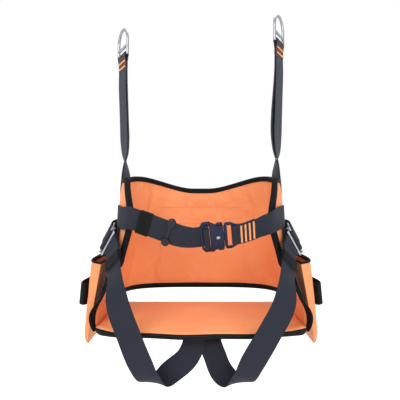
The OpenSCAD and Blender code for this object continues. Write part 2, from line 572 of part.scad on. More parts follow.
// Side pouch: open at the top, x outward, y to the back, z down from its mouth
pouch_at = [seat_w / 2 - 5, 8, 123];
wall = 1.8;
rim_h = 9;
module at_pouch() hung() translate(pouch_at) rotate([0, -pouch_lean, 0]) children();
module pouch_shape(i, up) hull() {
  for (s = [-1, 1]) {
    translate([i, s * (pouch_l / 2 - 26), 26 - pouch_h]) rotate([0, 90, 0])
      cylinder(h = 1.2, r = 26 - i, $fn = 32);
    translate([i, s * (pouch_l / 2 - i - 4), up - 4]) rotate([0, 90, 0]) cylinder(h = 1.2, r = 4, $fn = 16);
    translate([pouch_t - i - 4, s * (pouch_l / 2 - i - 12), up - 4]) cylinder(h = 4, r = 4, $fn = 24);
    translate([11 - i - 4, s * (pouch_l / 2 - 40), 18 + i - pouch_h]) sphere(r = 4, $fn = 24);
  }
}
module pouch_shell() difference() {
  pouch_shape(0, 0);
  pouch_shape(wall, 12);
}
module mouth_cut(z) translate([-5, -100, z]) cube([60, 200, 60]);
module pouch() color(orange) at_pouch() difference() {
  pouch_shell();
  mouth_cut(-rim_h - sewn / 2);
}
module pouch_rim() color(black) at_pouch() intersection() {
  pouch_shell();
  mouth_cut(sewn / 2 - rim_h);
}
module right_pouch() pouch();
module left_pouch() left() pouch();
module right_pouch_rim() pouch_rim();
module left_pouch_rim() left() pouch_rim();

// Point of the pouch in the seat's frame
function in_pouch(x, y, z) = pouch_at + [x * cos(pouch_lean) - z * sin(pouch_lean), y,
  x * sin(pouch_lean) + z * cos(pouch_lean)];
module pouch_hanger() {
  o = -2 * sewn - web_t / 2;
  y = sling_at(0.24, 112)[1] - pouch_at[1];
  out = [web_t + 2 * sewn + 1.2, 0, 0];
  a = [for (z = [-30, -14, -8]) in_pouch(o, y, z)];
  b = [sling_at(0.24, 116) + out, sling_at(0.24, 102) + out];
  over = [(a[2][0] + b[0][0]) / 2, y + pouch_at[1], pouch_at[2] + 1];
  color(navy) hung() ribbon([for (p = concat(a, [over], b)) [p, [0, -1, 0]]], 5, 30);
}
module right_pouch_hanger() pouch_hanger();
module left_pouch_hanger() left() pouch_hanger();

// Tool loop: webbing that stands off the outer face of the pouch
module tool_loop() {
  function face(z) = mix(pouch_t, 11, min(max((-z - 4) / (pouch_h - 22), 0), 1));
  z = -74;
  x = face(z) + web_t / 2 + 1.45;
  up = in_pouch(0, 0, 1) - pouch_at + [0.08, 0, 0];
  l = pouch_l / 2;
  color(black) hung() ribbon([for (p = [
    [x, 46 - l], [x, 30 - l], [x + 1.2, 22 - l], [x + 7, 16 - l], [x + 13, 20 - l],
    [x + 15.5, 34 - l], [x + 14, 0], [x + 9, l - 40], [x + 1.2, l - 31], [x, l - 26], [x, l - 14]])
    [in_pouch(p[0], p[1], z), up]], 4);
}
module right_tool_loop() tool_loop();
module left_tool_loop() left() tool_loop();

back_panel();
back_binding();
back_patch();
seat_cover();
seat_board();
seat_binding();
left_wing();
right_wing();
left_wing_binding();
right_wing_binding();
left_slot_binding();
right_slot_binding();
front_sling();
rear_sling();
left_riser();
right_riser();
left_ring();
right_ring();
belt_back();
belt_left();
belt_right();
belt_loop_end();
belt_elastic();
belt_clip();
buckle_base();
buckle_cover();
buckle_bar();
buckle_rivets();
upper_clip();
lower_clip();
tongue();
left_hip_loop();
right_hip_loop();
left_adjuster();
right_adjuster();
left_adjuster_bar();
right_adjuster_bar();
left_leg_strap();
right_leg_strap();
left_leg_keeper();
right_leg_keeper();
left_pouch();
right_pouch();
left_pouch_rim();
right_pouch_rim();
left_pouch_hanger();
right_pouch_hanger();
left_tool_loop();
right_tool_loop();
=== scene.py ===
"""Looks of a soft bosun's chair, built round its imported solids.

Shapes are set out in millimetres from the middle of the seat's top, as the part's own source does,
and hang() turns them into metres below the ring eyes.
"""

import math

import bmesh
import bpy
from mathutils import Matrix, Vector, noise

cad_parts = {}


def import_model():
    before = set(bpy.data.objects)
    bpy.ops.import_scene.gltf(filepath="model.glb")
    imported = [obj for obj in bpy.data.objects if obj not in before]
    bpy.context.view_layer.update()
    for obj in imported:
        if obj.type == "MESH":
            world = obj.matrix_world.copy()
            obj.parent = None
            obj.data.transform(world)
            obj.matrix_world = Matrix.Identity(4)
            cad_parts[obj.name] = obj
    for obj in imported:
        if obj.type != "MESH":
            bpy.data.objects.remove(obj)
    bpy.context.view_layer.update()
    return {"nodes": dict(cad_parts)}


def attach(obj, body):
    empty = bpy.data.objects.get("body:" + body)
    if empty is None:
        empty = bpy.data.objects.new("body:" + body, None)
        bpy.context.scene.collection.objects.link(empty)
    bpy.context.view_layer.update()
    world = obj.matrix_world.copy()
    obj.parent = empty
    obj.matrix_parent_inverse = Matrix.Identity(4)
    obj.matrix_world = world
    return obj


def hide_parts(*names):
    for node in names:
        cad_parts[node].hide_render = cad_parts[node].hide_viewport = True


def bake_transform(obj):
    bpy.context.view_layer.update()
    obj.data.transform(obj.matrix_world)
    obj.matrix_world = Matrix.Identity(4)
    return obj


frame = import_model()
nodes = frame["nodes"]

# Sizes in millimetres
MM = 0.001
SEAT_DROP = 648
SEAT_W, SEAT_D, SEAT_T, SEAT_BOW, SEAT_R = 416, 240, 14, 18, 22
SEAT_FRONT = -SEAT_D / 2 - 10 + SEAT_BOW
SEAT_REAR = SEAT_D / 2 - 10
WAIST_W, WAIST_D, PANEL_T, BELT_Z = 336, 130, 8, 217
BACK_TOP, EAR_RISE, SLOT_GAP, BIND_W = 279, 27, 32, 12
WEB_W, WEB_T = 45, 2.2
SEWN, RUN = 0.3, 0.4
RING_WIRE, RING_X, RING_Y, RING_TURN, RING_OFFSET, RING_SIDE = 6.5, 177, 30, 60, 31, 31
LEG_DROP, LEG_REACH = 92, 155
PLATE_T, BELT_SAG, BUCKLE_TILT, BUCKLE_ROLL, GAP_Y = 2, 41, 30, 7, 1.6
POUCH_L, POUCH_H, POUCH_T, POUCH_LEAN = 150, 172, 26, 10

# Levels and angles that several pieces share
EAR_Z = BACK_TOP + EAR_RISE
EAR_FROM, EAR_SPAN = 8, 54
SIDE_FALL, FALL_FROM, FALL_SPAN = 9, 62, 39
SIDE_LOW = BELT_Z - 104
SIDE_TOP = EAR_Z - SIDE_FALL
BELT_V = (BELT_Z - SIDE_LOW) / (SIDE_TOP - SIDE_LOW)
SLOT_A, LOW_A, WRAP_A, EAR_A, LEG_A = 72, 118, 125.5, 119, 80
SPLIT_A, LEAVE_A = 100, 118
BACK_ROUND = 725
WING_T = 2.5
LEG_OFF = PANEL_T + SEWN + WEB_T / 2
EDGE_OFF = LEG_OFF + 1.8
BELT_OFF = LEG_OFF + 1
LAY = (WEB_T + SEWN) / 2
UP = Vector((0, 0, 1))
ACROSS = Vector((0, -1, 0))
WORDS = {1: "right", -1: "left"}

# Plan of the back: how far it opens at the hips and closes at its ears, its depth gained in each 100 mm
# of height, and the powers that turn it from a squarish shape to a round one
HIP_FLARE, EAR_CLOSE, FLARE_POWER = 22, 9, 1.6
DEPTH_GAIN = 6
ROUND_POWER, SQUARE_POWER, SQUARE_EASE = 2.4, 1.4, 1.2

# Side wings: where they start and end along the seat, and how their middle bellies out
WING_REAR, WING_FRONT = SEAT_REAR - 48, SEAT_FRONT + 18
WING_SEWN_LOW, WING_SEWN_HIGH = 3, 3.4
BELLY_OUT, BELLY_BACK, BELLY_REAR_Z, BELLY_FRONT_Z = 3, 8, 14, 52

# Threads made at a time, the lean of a tack's threads, and where the slings lie along the wings
THREAD_BATCH, TACK_LEAN = 40, 0.45
REAR_SLING_U, FRONT_SLING_U = 0.24, 0.73


def hang(p, side=1):
    """A point beside the seat, in millimetres, as metres below the ring eyes."""
    return Vector((side * p[0], p[1], p[2] - SEAT_DROP)) * MM


def mix(a, b, t):
    return a + (b - a) * t


def ease(t):
    c = min(max(t, 0), 1)
    return c * c * (3 - 2 * c)


def vec(*p):
    return Vector(p)


# Plan of the back at a height


def low_share(z):
    return max(0, (BELT_Z - z) / BELT_Z)


def half_w(z):
    high = max(0, (z - BELT_Z) / (EAR_Z - BELT_Z))
    return WAIST_W / 2 + HIP_FLARE * low_share(z) ** FLARE_POWER - EAR_CLOSE * high**FLARE_POWER


def half_d(z):
    return WAIST_D + DEPTH_GAIN * (z - BELT_Z) / 100


def plan(a, z):
    """Point of the back's inner face at an angle from the rear, and its outward direction."""
    m = ROUND_POWER + SQUARE_POWER * low_share(z) ** SQUARE_EASE
    s, c = math.sin(math.radians(a)), math.cos(math.radians(a))
    w, d = half_w(z), half_d(z)
    r = (abs(s / w) ** m + abs(c / d) ** m) ** (-1 / m)
    out_x = math.copysign((r * abs(s) / w) ** (m - 1) / w, s)
    out_y = math.copysign((r * abs(c) / d) ** (m - 1) / d, c)
    return vec(r * s, r * c, z), vec(out_x, out_y, 0).normalized()


def on_back(a, z, off=0):
    p, out = plan(a, z)
    return p + out * off


def around(a, z):
    out = plan(a, z)[1]
    return vec(out.y, -out.x, 0)


def low_z(a):
    return SLOT_GAP + (SIDE_LOW - SLOT_GAP) * ease((abs(a) - SLOT_A) / (LOW_A - SLOT_A))


def top_z(a):
    rise = EAR_RISE * ease((abs(a) - EAR_FROM) / EAR_SPAN)
    return BACK_TOP + rise - SIDE_FALL * ease((abs(a) - FALL_FROM) / FALL_SPAN)


def front_a(v):
    if v < BELT_V:
        return mix(LOW_A, WRAP_A, ease(v / BELT_V))
    return mix(WRAP_A, EAR_A, ease((v - BELT_V) / (1 - BELT_V)))


def panel(u, v, off=0):
    a = (2 * u - 1) * front_a(v)
    return on_back(a, mix(low_z(a), top_z(a), v), off)


def edge_u(d):
    return d / BACK_ROUND


def edge_v(u, d):
    a = (2 * u - 1) * WRAP_A
    return d / (top_z(a) - low_z(a))


# Side wing between the back and the seat, from its rear to its front


def wing_y(u):
    return mix(WING_REAR, WING_FRONT, u)


def wing_face(u, v):
    a = mix(SLOT_A, LOW_A, u)
    low = vec(SEAT_W / 2 + SEWN, wing_y(u), WING_SEWN_LOW - SEAT_T)
    belly = vec(SEAT_W / 2 + BELLY_OUT, wing_y(u) + BELLY_BACK * u, mix(BELLY_REAR_Z, BELLY_FRONT_Z, u))
    high = on_back(a, low_z(a) - WING_SEWN_HIGH, PANEL_T - WING_T)
    return (1 - v) ** 2 * low + 2 * v * (1 - v) * belly + v * v * high


def wing(u, v, off=0):
    rise = wing_face(u, v + 0.01) - wing_face(u, v - 0.01)
    along = wing_face(u + 0.01, v) - wing_face(u - 0.01, v)
    return wing_face(u, v) + rise.cross(along).normalized() * off


# Smooth lines through stations of a point and a width direction


def bend(b, c, m, n, t):
    return (
        b * (2 * t**3 - 3 * t**2 + 1)
        + m * (t**3 - 2 * t**2 + t)
        + c * (3 * t**2 - 2 * t**3)
        + n * (t**3 - t**2)
    )


def slope(a, b, c, l0, l1):
    """Slope of the line at b, where the nearer neighbour counts for more."""
    if l0 == 0 or l1 == 0:
        return (c - a) / (l0 + l1)
    return ((b - a) * l1 / l0 + (c - b) * l0 / l1) / (l0 + l1)


def lift(station):
    return station[2] if len(station) > 2 else 0.0


def fine(stations, steps):
    """The smooth line: points, width directions and lifts, in steps from each station to the next."""
    last = len(stations) - 1
    full = [(q[0], q[1], lift(q)) for q in stations]
    line = []
    for i in range(last):
        a, b, c, d = (full[min(max(k, 0), last)] for k in (i - 1, i, i + 1, i + 2))
        l0, l1, l2 = ((q[0] - p[0]).length for p, q in ((a, b), (b, c), (c, d)))
        starts = [slope(a[k], b[k], c[k], l0, l1) * l1 for k in range(3)]
        stops = [slope(b[k], c[k], d[k], l1, l2) * l1 for k in range(3)]
        for j in range(steps):
            line.append(tuple(bend(b[k], c[k], starts[k], stops[k], j / steps) for k in range(3)))
    line.append(full[last])
    return line


def mirrored(stations):
    return [(vec(-q[0].x, q[0].y, q[0].z), vec(-q[1].x, q[1].y, q[1].z), -lift(q)) for q in stations]


def sided(stations, side):
    return stations if side > 0 else mirrored(stations)


def square_to(line, run):
    """The direction nearest to line that stands square to run."""
    return (line - run * line.dot(run)).normalized()


# Mesh makers


def placed(name, data):
    obj = bpy.data.objects.new(name, data)
    bpy.context.scene.collection.objects.link(obj)
    return obj


def finished(name, bm, sharp=50):
    """A piece from a bmesh, smooth apart from its sharp edges."""
    mesh = bpy.data.meshes.new(name)
    bm.to_mesh(mesh)
    bm.free()
    mesh.shade_smooth()
    mesh.set_sharp_from_angle(angle=math.radians(sharp))
    return placed(name, mesh)


def laid_grid(rows, cols, place, size=(1, 1), bm=None):
    """A grid laid on a surface, with a map of size metres: place takes a row and a column."""
    bm = bm if bm is not None else bmesh.new()
    weave = bm.loops.layers.uv.get("weave") or bm.loops.layers.uv.new("weave")
    made = bmesh.ops.create_grid(bm, x_segments=cols, y_segments=rows, size=0.5)["verts"]
    for v in made:
        for loop in v.link_loops:
            loop[weave].uv = ((v.co.x + 0.5) * size[0], (v.co.y + 0.5) * size[1])
    for v in made:
        v.co = place(round((v.co.y + 0.5) * rows), round((v.co.x + 0.5) * cols))
    return bm


def layered(name, rows, cols, place, faces, size):
    """A closed sheet between two faces that are laid out alike: place also takes the face."""
    bm = bmesh.new()
    for face in faces:
        laid_grid(rows, cols, lambda row, col: place(row, col, face), size, bm)
    bmesh.ops.bridge_loops(bm, edges=[e for e in bm.edges if e.is_boundary])
    bmesh.ops.recalc_face_normals(bm, faces=bm.faces)
    return finished(name, bm)


def close_up(bm, caps=True):
    """Joins the seam of a rolled grid, fills its open ends and turns its faces outwards."""
    bmesh.ops.remove_doubles(bm, verts=bm.verts, dist=1e-6)
    if caps:
        rim = [e for e in bm.edges if e.is_boundary]
        bmesh.ops.holes_fill(bm, edges=rim, sides=0)
    bmesh.ops.recalc_face_normals(bm, faces=bm.faces)


def rolled(name, rows, cols, place, size, caps=True):
    """A piece from a grid that is rolled up into a tube or a ring."""
    bm = laid_grid(rows, cols, place, size)
    close_up(bm, caps)
    return finished(name, bm)


def flat_profile(w, t, flat_steps=10, turn_steps=4):
    """Closed outline of a band: across and through, with round selvedges."""
    r = t / 2
    turns = [math.pi * k / turn_steps for k in range(turn_steps)]
    outline = []
    for side in (1, -1):
        for k in range(flat_steps):
            x = mix(w / 2 - r, r - w / 2, k / flat_steps)
            outline.append((side * x, side * r))
        for a in turns:
            outline.append((side * (r - w / 2 - r * math.sin(a)), side * r * math.cos(a)))
    return outline


def frames(line, closed=False):
    """Width and through directions at each point of a line."""
    out = []
    last = len(line) - 1
    for i, station in enumerate(line):
        p, w = station[:2]
        if closed:
            run = line[(i + 1) % last][0] - line[(i - 1) % last][0]
        else:
            run = line[min(i + 1, last)][0] - line[max(i - 1, 0)][0]
        run.normalize()
        across = square_to(w, run)
        through = run.cross(across)
        out.append((p + through * lift(station), across, through))
    return out


def band(name, line, outline, closed=False, ripple=None):
    """A piece whose outline follows a line; ripple lifts its faces by a height at a length and a width."""
    stops = frames(line, closed)
    lengths = [0.0]
    for a, b in zip(line, line[1:]):
        lengths.append(lengths[-1] + (b[0] - a[0]).length)
    n = len(outline)

    def place(row, col):
        p, across, through = stops[col]
        x, y = outline[row % n]
        if ripple:
            y += ripple(lengths[col], x) * (1 if y > 0 else -1)
        return hang(p + across * x + through * y)

    bm = laid_grid(n, len(line) - 1, place)
    weave = bm.loops.layers.uv["weave"]
    for face in bm.faces:
        cols = [round(loop[weave].uv.x * (len(line) - 1)) for loop in face.loops]
        rows = [round(loop[weave].uv.y * n) for loop in face.loops]
        for loop, col, row in zip(face.loops, cols, rows):
            loop[weave].uv = (lengths[col] * MM, outline[row % n][0] * MM)
    close_up(bm, caps=not closed)
    return finished(name, bm)


def webbing(name, stations, steps=10, w=WEB_W, t=WEB_T):
    return band(name, fine(stations, steps), flat_profile(w, t))


def softened(name, node, width, segments=2, angle=30, part=None):
    """A copy of a rigid solid, or of a part of it, with its hard edges rounded."""
    bm = bmesh.new()
    bm.from_mesh(nodes[node].data)
    bmesh.ops.remove_doubles(bm, verts=bm.verts, dist=2e-6)
    if part:
        bmesh.ops.delete(bm, geom=[v for v in bm.verts if not part(v.co)], context="VERTS")
    bmesh.ops.dissolve_limit(bm, angle_limit=math.radians(2), verts=bm.verts, edges=bm.edges)
    hard = [e for e in bm.edges if e.is_manifold and e.calc_face_angle() > math.radians(angle)]
    bmesh.ops.bevel(
        bm,
        geom=hard,
        offset=width * MM,
        affect="EDGES",
        segments=segments,
        profile=0.5,
        material=-1,
        clamp_overlap=True,
    )
    bmesh.ops.triangulate(bm, faces=[f for f in bm.faces if len(f.verts) > 4])
    return finished(name, bm, sharp=32)


def filled(obj, held, cap, slack, pressure=4.0, frames=20):
    """Fills out a padded piece by cloth simulation: held points stay, none moves further than cap metres."""
    scene = bpy.context.scene
    corners = obj.data.vertices
    pins = obj.vertex_groups.new(name="held")
    pins.add([v.index for v in corners if held(v)], 1.0, "REPLACE")
    before = [v.co.copy() for v in corners]
    cloth = obj.modifiers.new("fill", "CLOTH")
    cloth.settings.vertex_group_mass = pins.name
    cloth.settings.use_pressure = True
    cloth.settings.uniform_pressure_force = pressure
    cloth.settings.effector_weights.gravity = 0
    cloth.settings.shrink_min = -slack
    for frame_number in range(1, frames + 1):
        scene.frame_set(frame_number)
    shape = obj.evaluated_get(bpy.context.evaluated_depsgraph_get()).data
    after = [v.co.copy() for v in shape.vertices]
    obj.modifiers.remove(cloth)
    obj.vertex_groups.remove(pins)
    for v, a, b in zip(corners, before, after):
        step = b - a
        v.co = a + step * min(1.0, cap / max(step.length, 1e-9))
    obj.data.update()
    scene.frame_set(1)
    return obj


def stitches(name, rows, length=2.6, gap=1.4, thick=0.7):
    """Rows of thread; each row is a list of points and outward directions in millimetres."""
    laid = []
    for row in rows:
        stretch = 0.0
        start = row[0]
        for stop in row[1:]:
            stretch += (stop[0] - start[0]).length
            if stretch >= length + gap:
                laid.append((stop[0] - (stop[0] - start[0]).normalized() * length, stop[0], stop[1], thick))
                stretch = 0.0
            start = stop
    return threads(name, laid)


def threads(name, laid):
    """One piece of many threads, made a few at a time, which is quicker."""
    whole = bmesh.new()
    for start in range(0, len(laid), THREAD_BATCH):
        some = bmesh.new()
        for line in laid[start:start + THREAD_BATCH]:
            thread(some, *line)
        scrap = bpy.data.meshes.new("scrap")
        some.to_mesh(scrap)
        some.free()
        whole.from_mesh(scrap)
        bpy.data.meshes.remove(scrap)
    return finished(name, whole)


def thread(bm, p, q, out, thick):
    """One short bulging thread from p to q that lies on a face."""
    run = q - p
    along = run.normalized()
    side = out.cross(along).normalized()
    rise = along.cross(side)
    spin = Matrix((side, along, rise)).transposed()
    middle = hang((p + q) / 2)
    scale = Matrix.Diagonal((thick / 2 * MM, run.length / 2 * MM, thick / 2 * MM))
    place = Matrix.Translation(middle) @ (spin @ scale).to_4x4()
    bmesh.ops.create_uvsphere(bm, u_segments=6, v_segments=5, radius=1, matrix=place)


def tack(p, q, out, width=2.6, pitch=0.75, thick=0.8):
    """The threads of a bar tack, laid close together across the line from p to q."""
    along = (q - p).normalized()
    side = out.cross(along).normalized()
    count = int((q - p).length / pitch)
    laid = []
    for k in range(count):
        middle = mix(p, q, (k + 0.5) / count)
        lean = along * pitch * (TACK_LEAN if k % 2 else -TACK_LEAN)
        laid.append((middle - side * width / 2 - lean, middle + side * width / 2 + lean, out, thick))
    return laid


# Materials


class Wire:
    """A shader value that takes Python arithmetic."""

    def __init__(self, look, socket):
        self.look = look
        self.socket = socket

    def math(self, operation, *others):
        values = [self, *others]
        return self.look.node("Math", {"operation": operation}, dict(enumerate(values)))

    def __add__(self, other):
        return self.math("ADD", other)

    def __sub__(self, other):
        return self.math("SUBTRACT", other)

    def __mul__(self, other):
        return self.math("MULTIPLY", other)

    def __truediv__(self, other):
        return self.math("DIVIDE", other)

    def wave(self):
        return self.math("SINE")

    def ribs(self, pitch):
        """A wave for every pitch metres."""
        return (self * (2 * math.pi / pitch)).wave()

    def size(self):
        return self.math("ABSOLUTE")

    def part(self):
        return self.math("FRACT")

    def clamped(self):
        return self.look.node("Clamp", {}, {0: self})


class Look:
    """One material, with a Principled shader and the node maker that its patterns use."""

    def __init__(self, name, **fixed):
        self.material = bpy.data.materials.new(name)
        self.material.use_nodes = True
        self.tree = self.material.node_tree
        self.shader = self.tree.nodes["Principled BSDF"]
        for key, value in fixed.items():
            self.shader.inputs[key.replace("_", " ")].default_value = value

    def node(self, kind, settings=None, sockets=None, out=0):
        made = self.tree.nodes.new("ShaderNode" + kind)
        for key, value in (settings or {}).items():
            setattr(made, key, value)
        for key, value in (sockets or {}).items():
            self.feed(made.inputs[key], value)
        return Wire(self, made.outputs[out])

    def feed(self, socket, value):
        if isinstance(value, Wire):
            self.tree.links.new(value.socket, socket)
        else:
            socket.default_value = value

    def set(self, name, value):
        self.feed(self.shader.inputs[name], value)

    def finish(self, colour, roughness, normal=None):
        """Feeds the shader and gives the material."""
        self.set("Base Color", colour)
        self.set("Roughness", roughness)
        if normal:
            self.set("Normal", normal)
        return self.material

    def place(self):
        """Object coordinates as a vector."""
        return self.node("TexCoord", out=3)

    def weave_axes(self):
        """The piece's own map in metres: along and across."""
        split = self.node("SeparateXYZ", {}, {0: self.node("UVMap", {"uv_map": "weave"})})
        return split, Wire(self, split.socket.node.outputs[1])

    def noise(self, scale, detail=2.0, rough=0.5, where=None):
        sockets = {"Vector": where or self.place(), "Scale": scale, "Detail": detail, "Roughness": rough}
        return self.node("TexNoise", {}, sockets)

    def blend(self, factor, a, b):
        """Two colours mixed by a factor."""
        return self.node("Mix", {"data_type": "RGBA"}, {0: factor, 6: a, 7: b}, out=2)

    def bump(self, height, depth, strength=1.0, after=None):
        sockets = {"Height": height, "Distance": depth, "Strength": strength}
        if after:
            sockets["Normal"] = after
        return self.node("Bump", {}, sockets)


def rgb(r, g, b):
    """A colour written in eight-bit screen values."""

    def linear(c):
        c /= 255
        return c / 12.92 if c <= 0.04045 else ((c + 0.055) / 1.055) ** 2.4

    return (linear(r), linear(g), linear(b), 1)


def spread(value, low, high):
    """A value from 0 to 1 brought between low and high."""
    return value * (high - low) + low


# Pitches of the weaves in metres, and where the selvedge of the webbing starts and how wide it is
YARN_PITCH, TAPE_PITCH = 0.0011, 0.0016
RIB_PITCH, LANE_PITCH, CHEVRON_PITCH = 0.0019, 0.0028, 0.0056
SELVEDGE_AT, SELVEDGE_W = 0.0195, 0.0025


def coated_cloth(name, colour, shade, crease_highlight):
    """Close woven cloth with a satin coating, soft creases with a painted highlight on their ridges, and its
    dyed colour a little uneven.
    """
    look = Look(name, Specular_IOR_Level=0.35)
    along, across = look.weave_axes()
    yarn = along.ribs(YARN_PITCH) * across.ribs(YARN_PITCH)
    cloud = look.noise(9, 3, 0.6)
    fleck = look.noise(420, 2, 0.6)
    crease = look.noise(34, 4, 0.62)
    surface_colour = look.blend(spread(cloud, -0.4, 1.4).clamped(), shade, colour)
    # Painted highlight: the ridges of the creases, where the bump rises, are made lighter.
    surface_colour = look.blend(spread(crease, -0.6, 1.0).clamped() * 0.35, surface_colour, crease_highlight)
    surface_colour = look.blend(spread(fleck, 0, 0.16), surface_colour, shade)
    soft = look.bump(crease, 0.0016, 0.5)
    return look.finish(surface_colour, spread(crease, 0.5, 0.66) + yarn * 0.03, look.bump(yarn, 0.00016, 0.6, soft))


def woven_strap(name, colour, light):
    """Heavy webbing: chevron ribs along its length, with a painted highlight where the ribs rise, and paler
    wear along its selvedges.
    """
    look = Look(name, Specular_IOR_Level=0.2, Sheen_Weight=0.03, Sheen_Roughness=0.45)
    along, across = look.weave_axes()
    zig = ((across / CHEVRON_PITCH).part() - 0.5).size()
    rib = (along * (2 * math.pi / RIB_PITCH) + zig * (4 * math.pi)).wave()
    lane = across.ribs(LANE_PITCH).size()
    lift = rib * 0.5 + lane * 0.6
    worn = look.noise(46, 4, 0.6)
    hair = look.noise(900, 2, 0.6)
    selvedge = ((across.size() - SELVEDGE_AT) / SELVEDGE_W).clamped()
    # Painted highlight on the raised ribs, varied by the worn patches, plus paler wear along the selvedges.
    shine = spread(lift, 0.12, 0.5) * spread(worn, 0.5, 1.1) + selvedge * 0.12
    surface_colour = look.blend(shine.clamped(), colour, light)
    surface_colour = look.blend(spread(hair, -0.05, 0.25).clamped(), surface_colour, light)
    return look.finish(surface_colour, spread(worn, 0.62, 0.8) - lift * 0.05, look.bump(lift, 0.00035, 0.7))


def edge_tape(name, colour, light):
    """Narrow ribbed tape, folded over an edge, paler in worn patches: the paleness is strongest on the rib
    crests, where it is a painted highlight.
    """
    look = Look(name, Specular_IOR_Level=0.15)
    along, _ = look.weave_axes()
    rib = along.ribs(TAPE_PITCH)
    worn = look.noise(60, 4, 0.6)
    # Paler where worn, and most on the rib crests: wear, with a painted highlight on the crests.
    surface_colour = look.blend(spread(worn, -0.3, 0.75).clamped() * spread(rib, 0.3, 0.5), colour, light)
    ribbed = look.bump(rib, 0.0002, 0.6, look.bump(worn, 0.0008, 0.4))
    return look.finish(surface_colour, spread(worn, 0.55, 0.78), ribbed)


def polished_steel(name):
    """Stainless wire and plate, polished, with fine rubbing marks."""
    look = Look(name, Metallic=1.0)
    rub = look.noise(70, 5, 0.65)
    fine_rub = look.noise(700, 2, 0.5)
    surface_colour = look.blend(spread(rub, -0.2, 1.1).clamped(), rgb(132, 134, 138), rgb(182, 184, 188))
    shine = spread(rub, 0.16, 0.34) + spread(fine_rub, -0.04, 0.06)
    return look.finish(surface_colour, shine, look.bump(fine_rub, 0.00005, 0.4))


def anodised_plate(name):
    """Dark anodised plate, rubbed to bare metal in places."""
    look = Look(name, Metallic=0.75)
    rub = look.noise(110, 5, 0.65)
    grain = look.noise(1500, 2, 0.5)
    bare = ((rub - 0.62) * 7).clamped()
    surface_colour = look.blend(bare * 0.5, rgb(33, 38, 58), rgb(96, 103, 122))
    return look.finish(surface_colour, spread(rub, 0.24, 0.5), look.bump(grain, 0.00004, 0.5))


def moulded_plastic(name):
    """Black moulded nylon with a fine spark texture."""
    look = Look(name, Specular_IOR_Level=0.3)
    spark = look.noise(1300, 3, 0.6)
    worn = look.noise(80, 4, 0.6)
    surface_colour = look.blend(spread(worn, -0.3, 0.9).clamped(), rgb(14, 15, 20), rgb(34, 36, 44))
    return look.finish(surface_colour, spread(worn, 0.4, 0.6), look.bump(spark, 0.00008, 0.6))


def sewing_thread(name, colour, light):
    """Twisted thread with a dull shine."""
    look = Look(name, Specular_IOR_Level=0.4)
    ply = look.noise(1400, 2, 0.5)
    return look.finish(look.blend(spread(ply, 0, 1.0), colour, light), spread(ply, 0.45, 0.65))


def bare_board(name):
    """Plain plywood with long grain."""
    look = Look(name)
    squeeze = look.node("Mapping", {}, {"Vector": look.place(), "Scale": (4, 60, 60)})
    grain = look.noise(6, 5, 0.6, squeeze)
    surface_colour = look.blend(spread(grain, 0, 1), rgb(196, 158, 112), rgb(226, 194, 150))
    return look.finish(surface_colour, spread(grain, 0.5, 0.7))


# Cloth: its colour, a darker tone for the uneven dye, and a lighter colour for the painted highlight on
# crease ridges.
CLOTH = coated_cloth("orange_cloth", rgb(248, 161, 107), rgb(244, 146, 90), rgb(252, 180, 130))
# Each webbing and tape has its colour and a paler one, for wear and for the painted highlight on its ribs.
STRAP = woven_strap("navy_webbing", rgb(22, 25, 34), rgb(48, 52, 66))
RISER_STRAP = woven_strap("faded_webbing", rgb(40, 44, 52), rgb(78, 84, 96))
TAPE = edge_tape("black_tape", rgb(7, 7, 10), rgb(26, 27, 32))
STEEL = polished_steel("stainless_steel")
ANODISED = anodised_plate("dark_anodised_plate")
PLASTIC = moulded_plastic("black_plastic")
TACK_THREAD = sewing_thread("orange_thread", rgb(228, 138, 76), rgb(250, 188, 130))
PALE_THREAD = sewing_thread("pale_thread", rgb(228, 160, 112), rgb(250, 206, 168))
DARK_THREAD = sewing_thread("black_thread", rgb(22, 22, 26), rgb(60, 61, 68))
CLOTH_THREAD = sewing_thread("seam_thread", rgb(186, 78, 36), rgb(214, 106, 56))
# Brown patch webbing: the paler colour is for wear and for the painted highlight on its ribs.
PATCH_BROWN = woven_strap("brown_patch", rgb(98, 47, 16), rgb(156, 86, 36))
BOARD = bare_board("seat_plywood")


def coat(piece, look):
    piece.data.materials.clear()
    piece.data.materials.append(look)


def dress(piece, look, *stands_for, body="chair"):
    """Gives a piece its finish and its body, and hides its solids; a piece that spans from one body to
    another only has its placement baked in.
    """
    coat(piece, look)
    if isinstance(body, str):
        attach(piece, body)
    else:
        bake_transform(piece)
    if stands_for:
        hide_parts(*stands_for)
    return piece


def strap(node, stations, steps, name=None, look=STRAP, w=WEB_W, body="chair"):
    """Webbing along stations, in place of a solid."""
    dress(webbing((name or node) + "_webbing", stations, steps, w), look, node, body=body)


# Back: pad, tape round its edge and the sewn lines

PAD_IN, PAD_EDGE, PAD_HIGH = 6, 26, 240
PAD_SWELL, SEAM_DEPTH = 1.2, 1.1
PAD_SLACK, SEAT_SLACK = 0.012, 0.006
PAD_CAP, SEAT_CAP = 2.4, 1.6
SEAM_LEVELS = (BELT_Z + 14, BELT_Z - 26)
SEAM_REACH, SEAM_FADE, SEAM_WIDTH = 138, 12, 2.6
DART_DEPTH = 0.7
PATCH_TOP, PATCH_LOW = 27, 40
PATCH_Z = BACK_TOP - BIND_W - 3


def seam_dip(p):
    """Depth of the sewn lines near a point of the inner face."""
    if abs(p.x) > SEAM_REACH + 8:
        return 0.0
    fade = ease((SEAM_REACH - abs(p.x)) / SEAM_FADE)
    dip = sum(math.exp(-(((p.z - z) / SEAM_WIDTH) ** 2)) for z in SEAM_LEVELS) * fade
    if p.z > SEAM_LEVELS[0]:
        t = min((p.z - SEAM_LEVELS[0]) / (BACK_TOP - BIND_W - SEAM_LEVELS[0]), 1)
        dart = (abs(p.x) - mix(PATCH_LOW, PATCH_TOP, t)) / SEAM_WIDTH
        dip += DART_DEPTH * math.exp(-(dart**2))
    return min(dip, 1.0)


def soft_lumps(p, scale, seed):
    """Slow unevenness of stuffed cloth, about -1 to 1."""
    return noise.noise(Vector((p.x / scale, p.y / scale, p.z / scale)) + Vector((seed, 0, 0)))


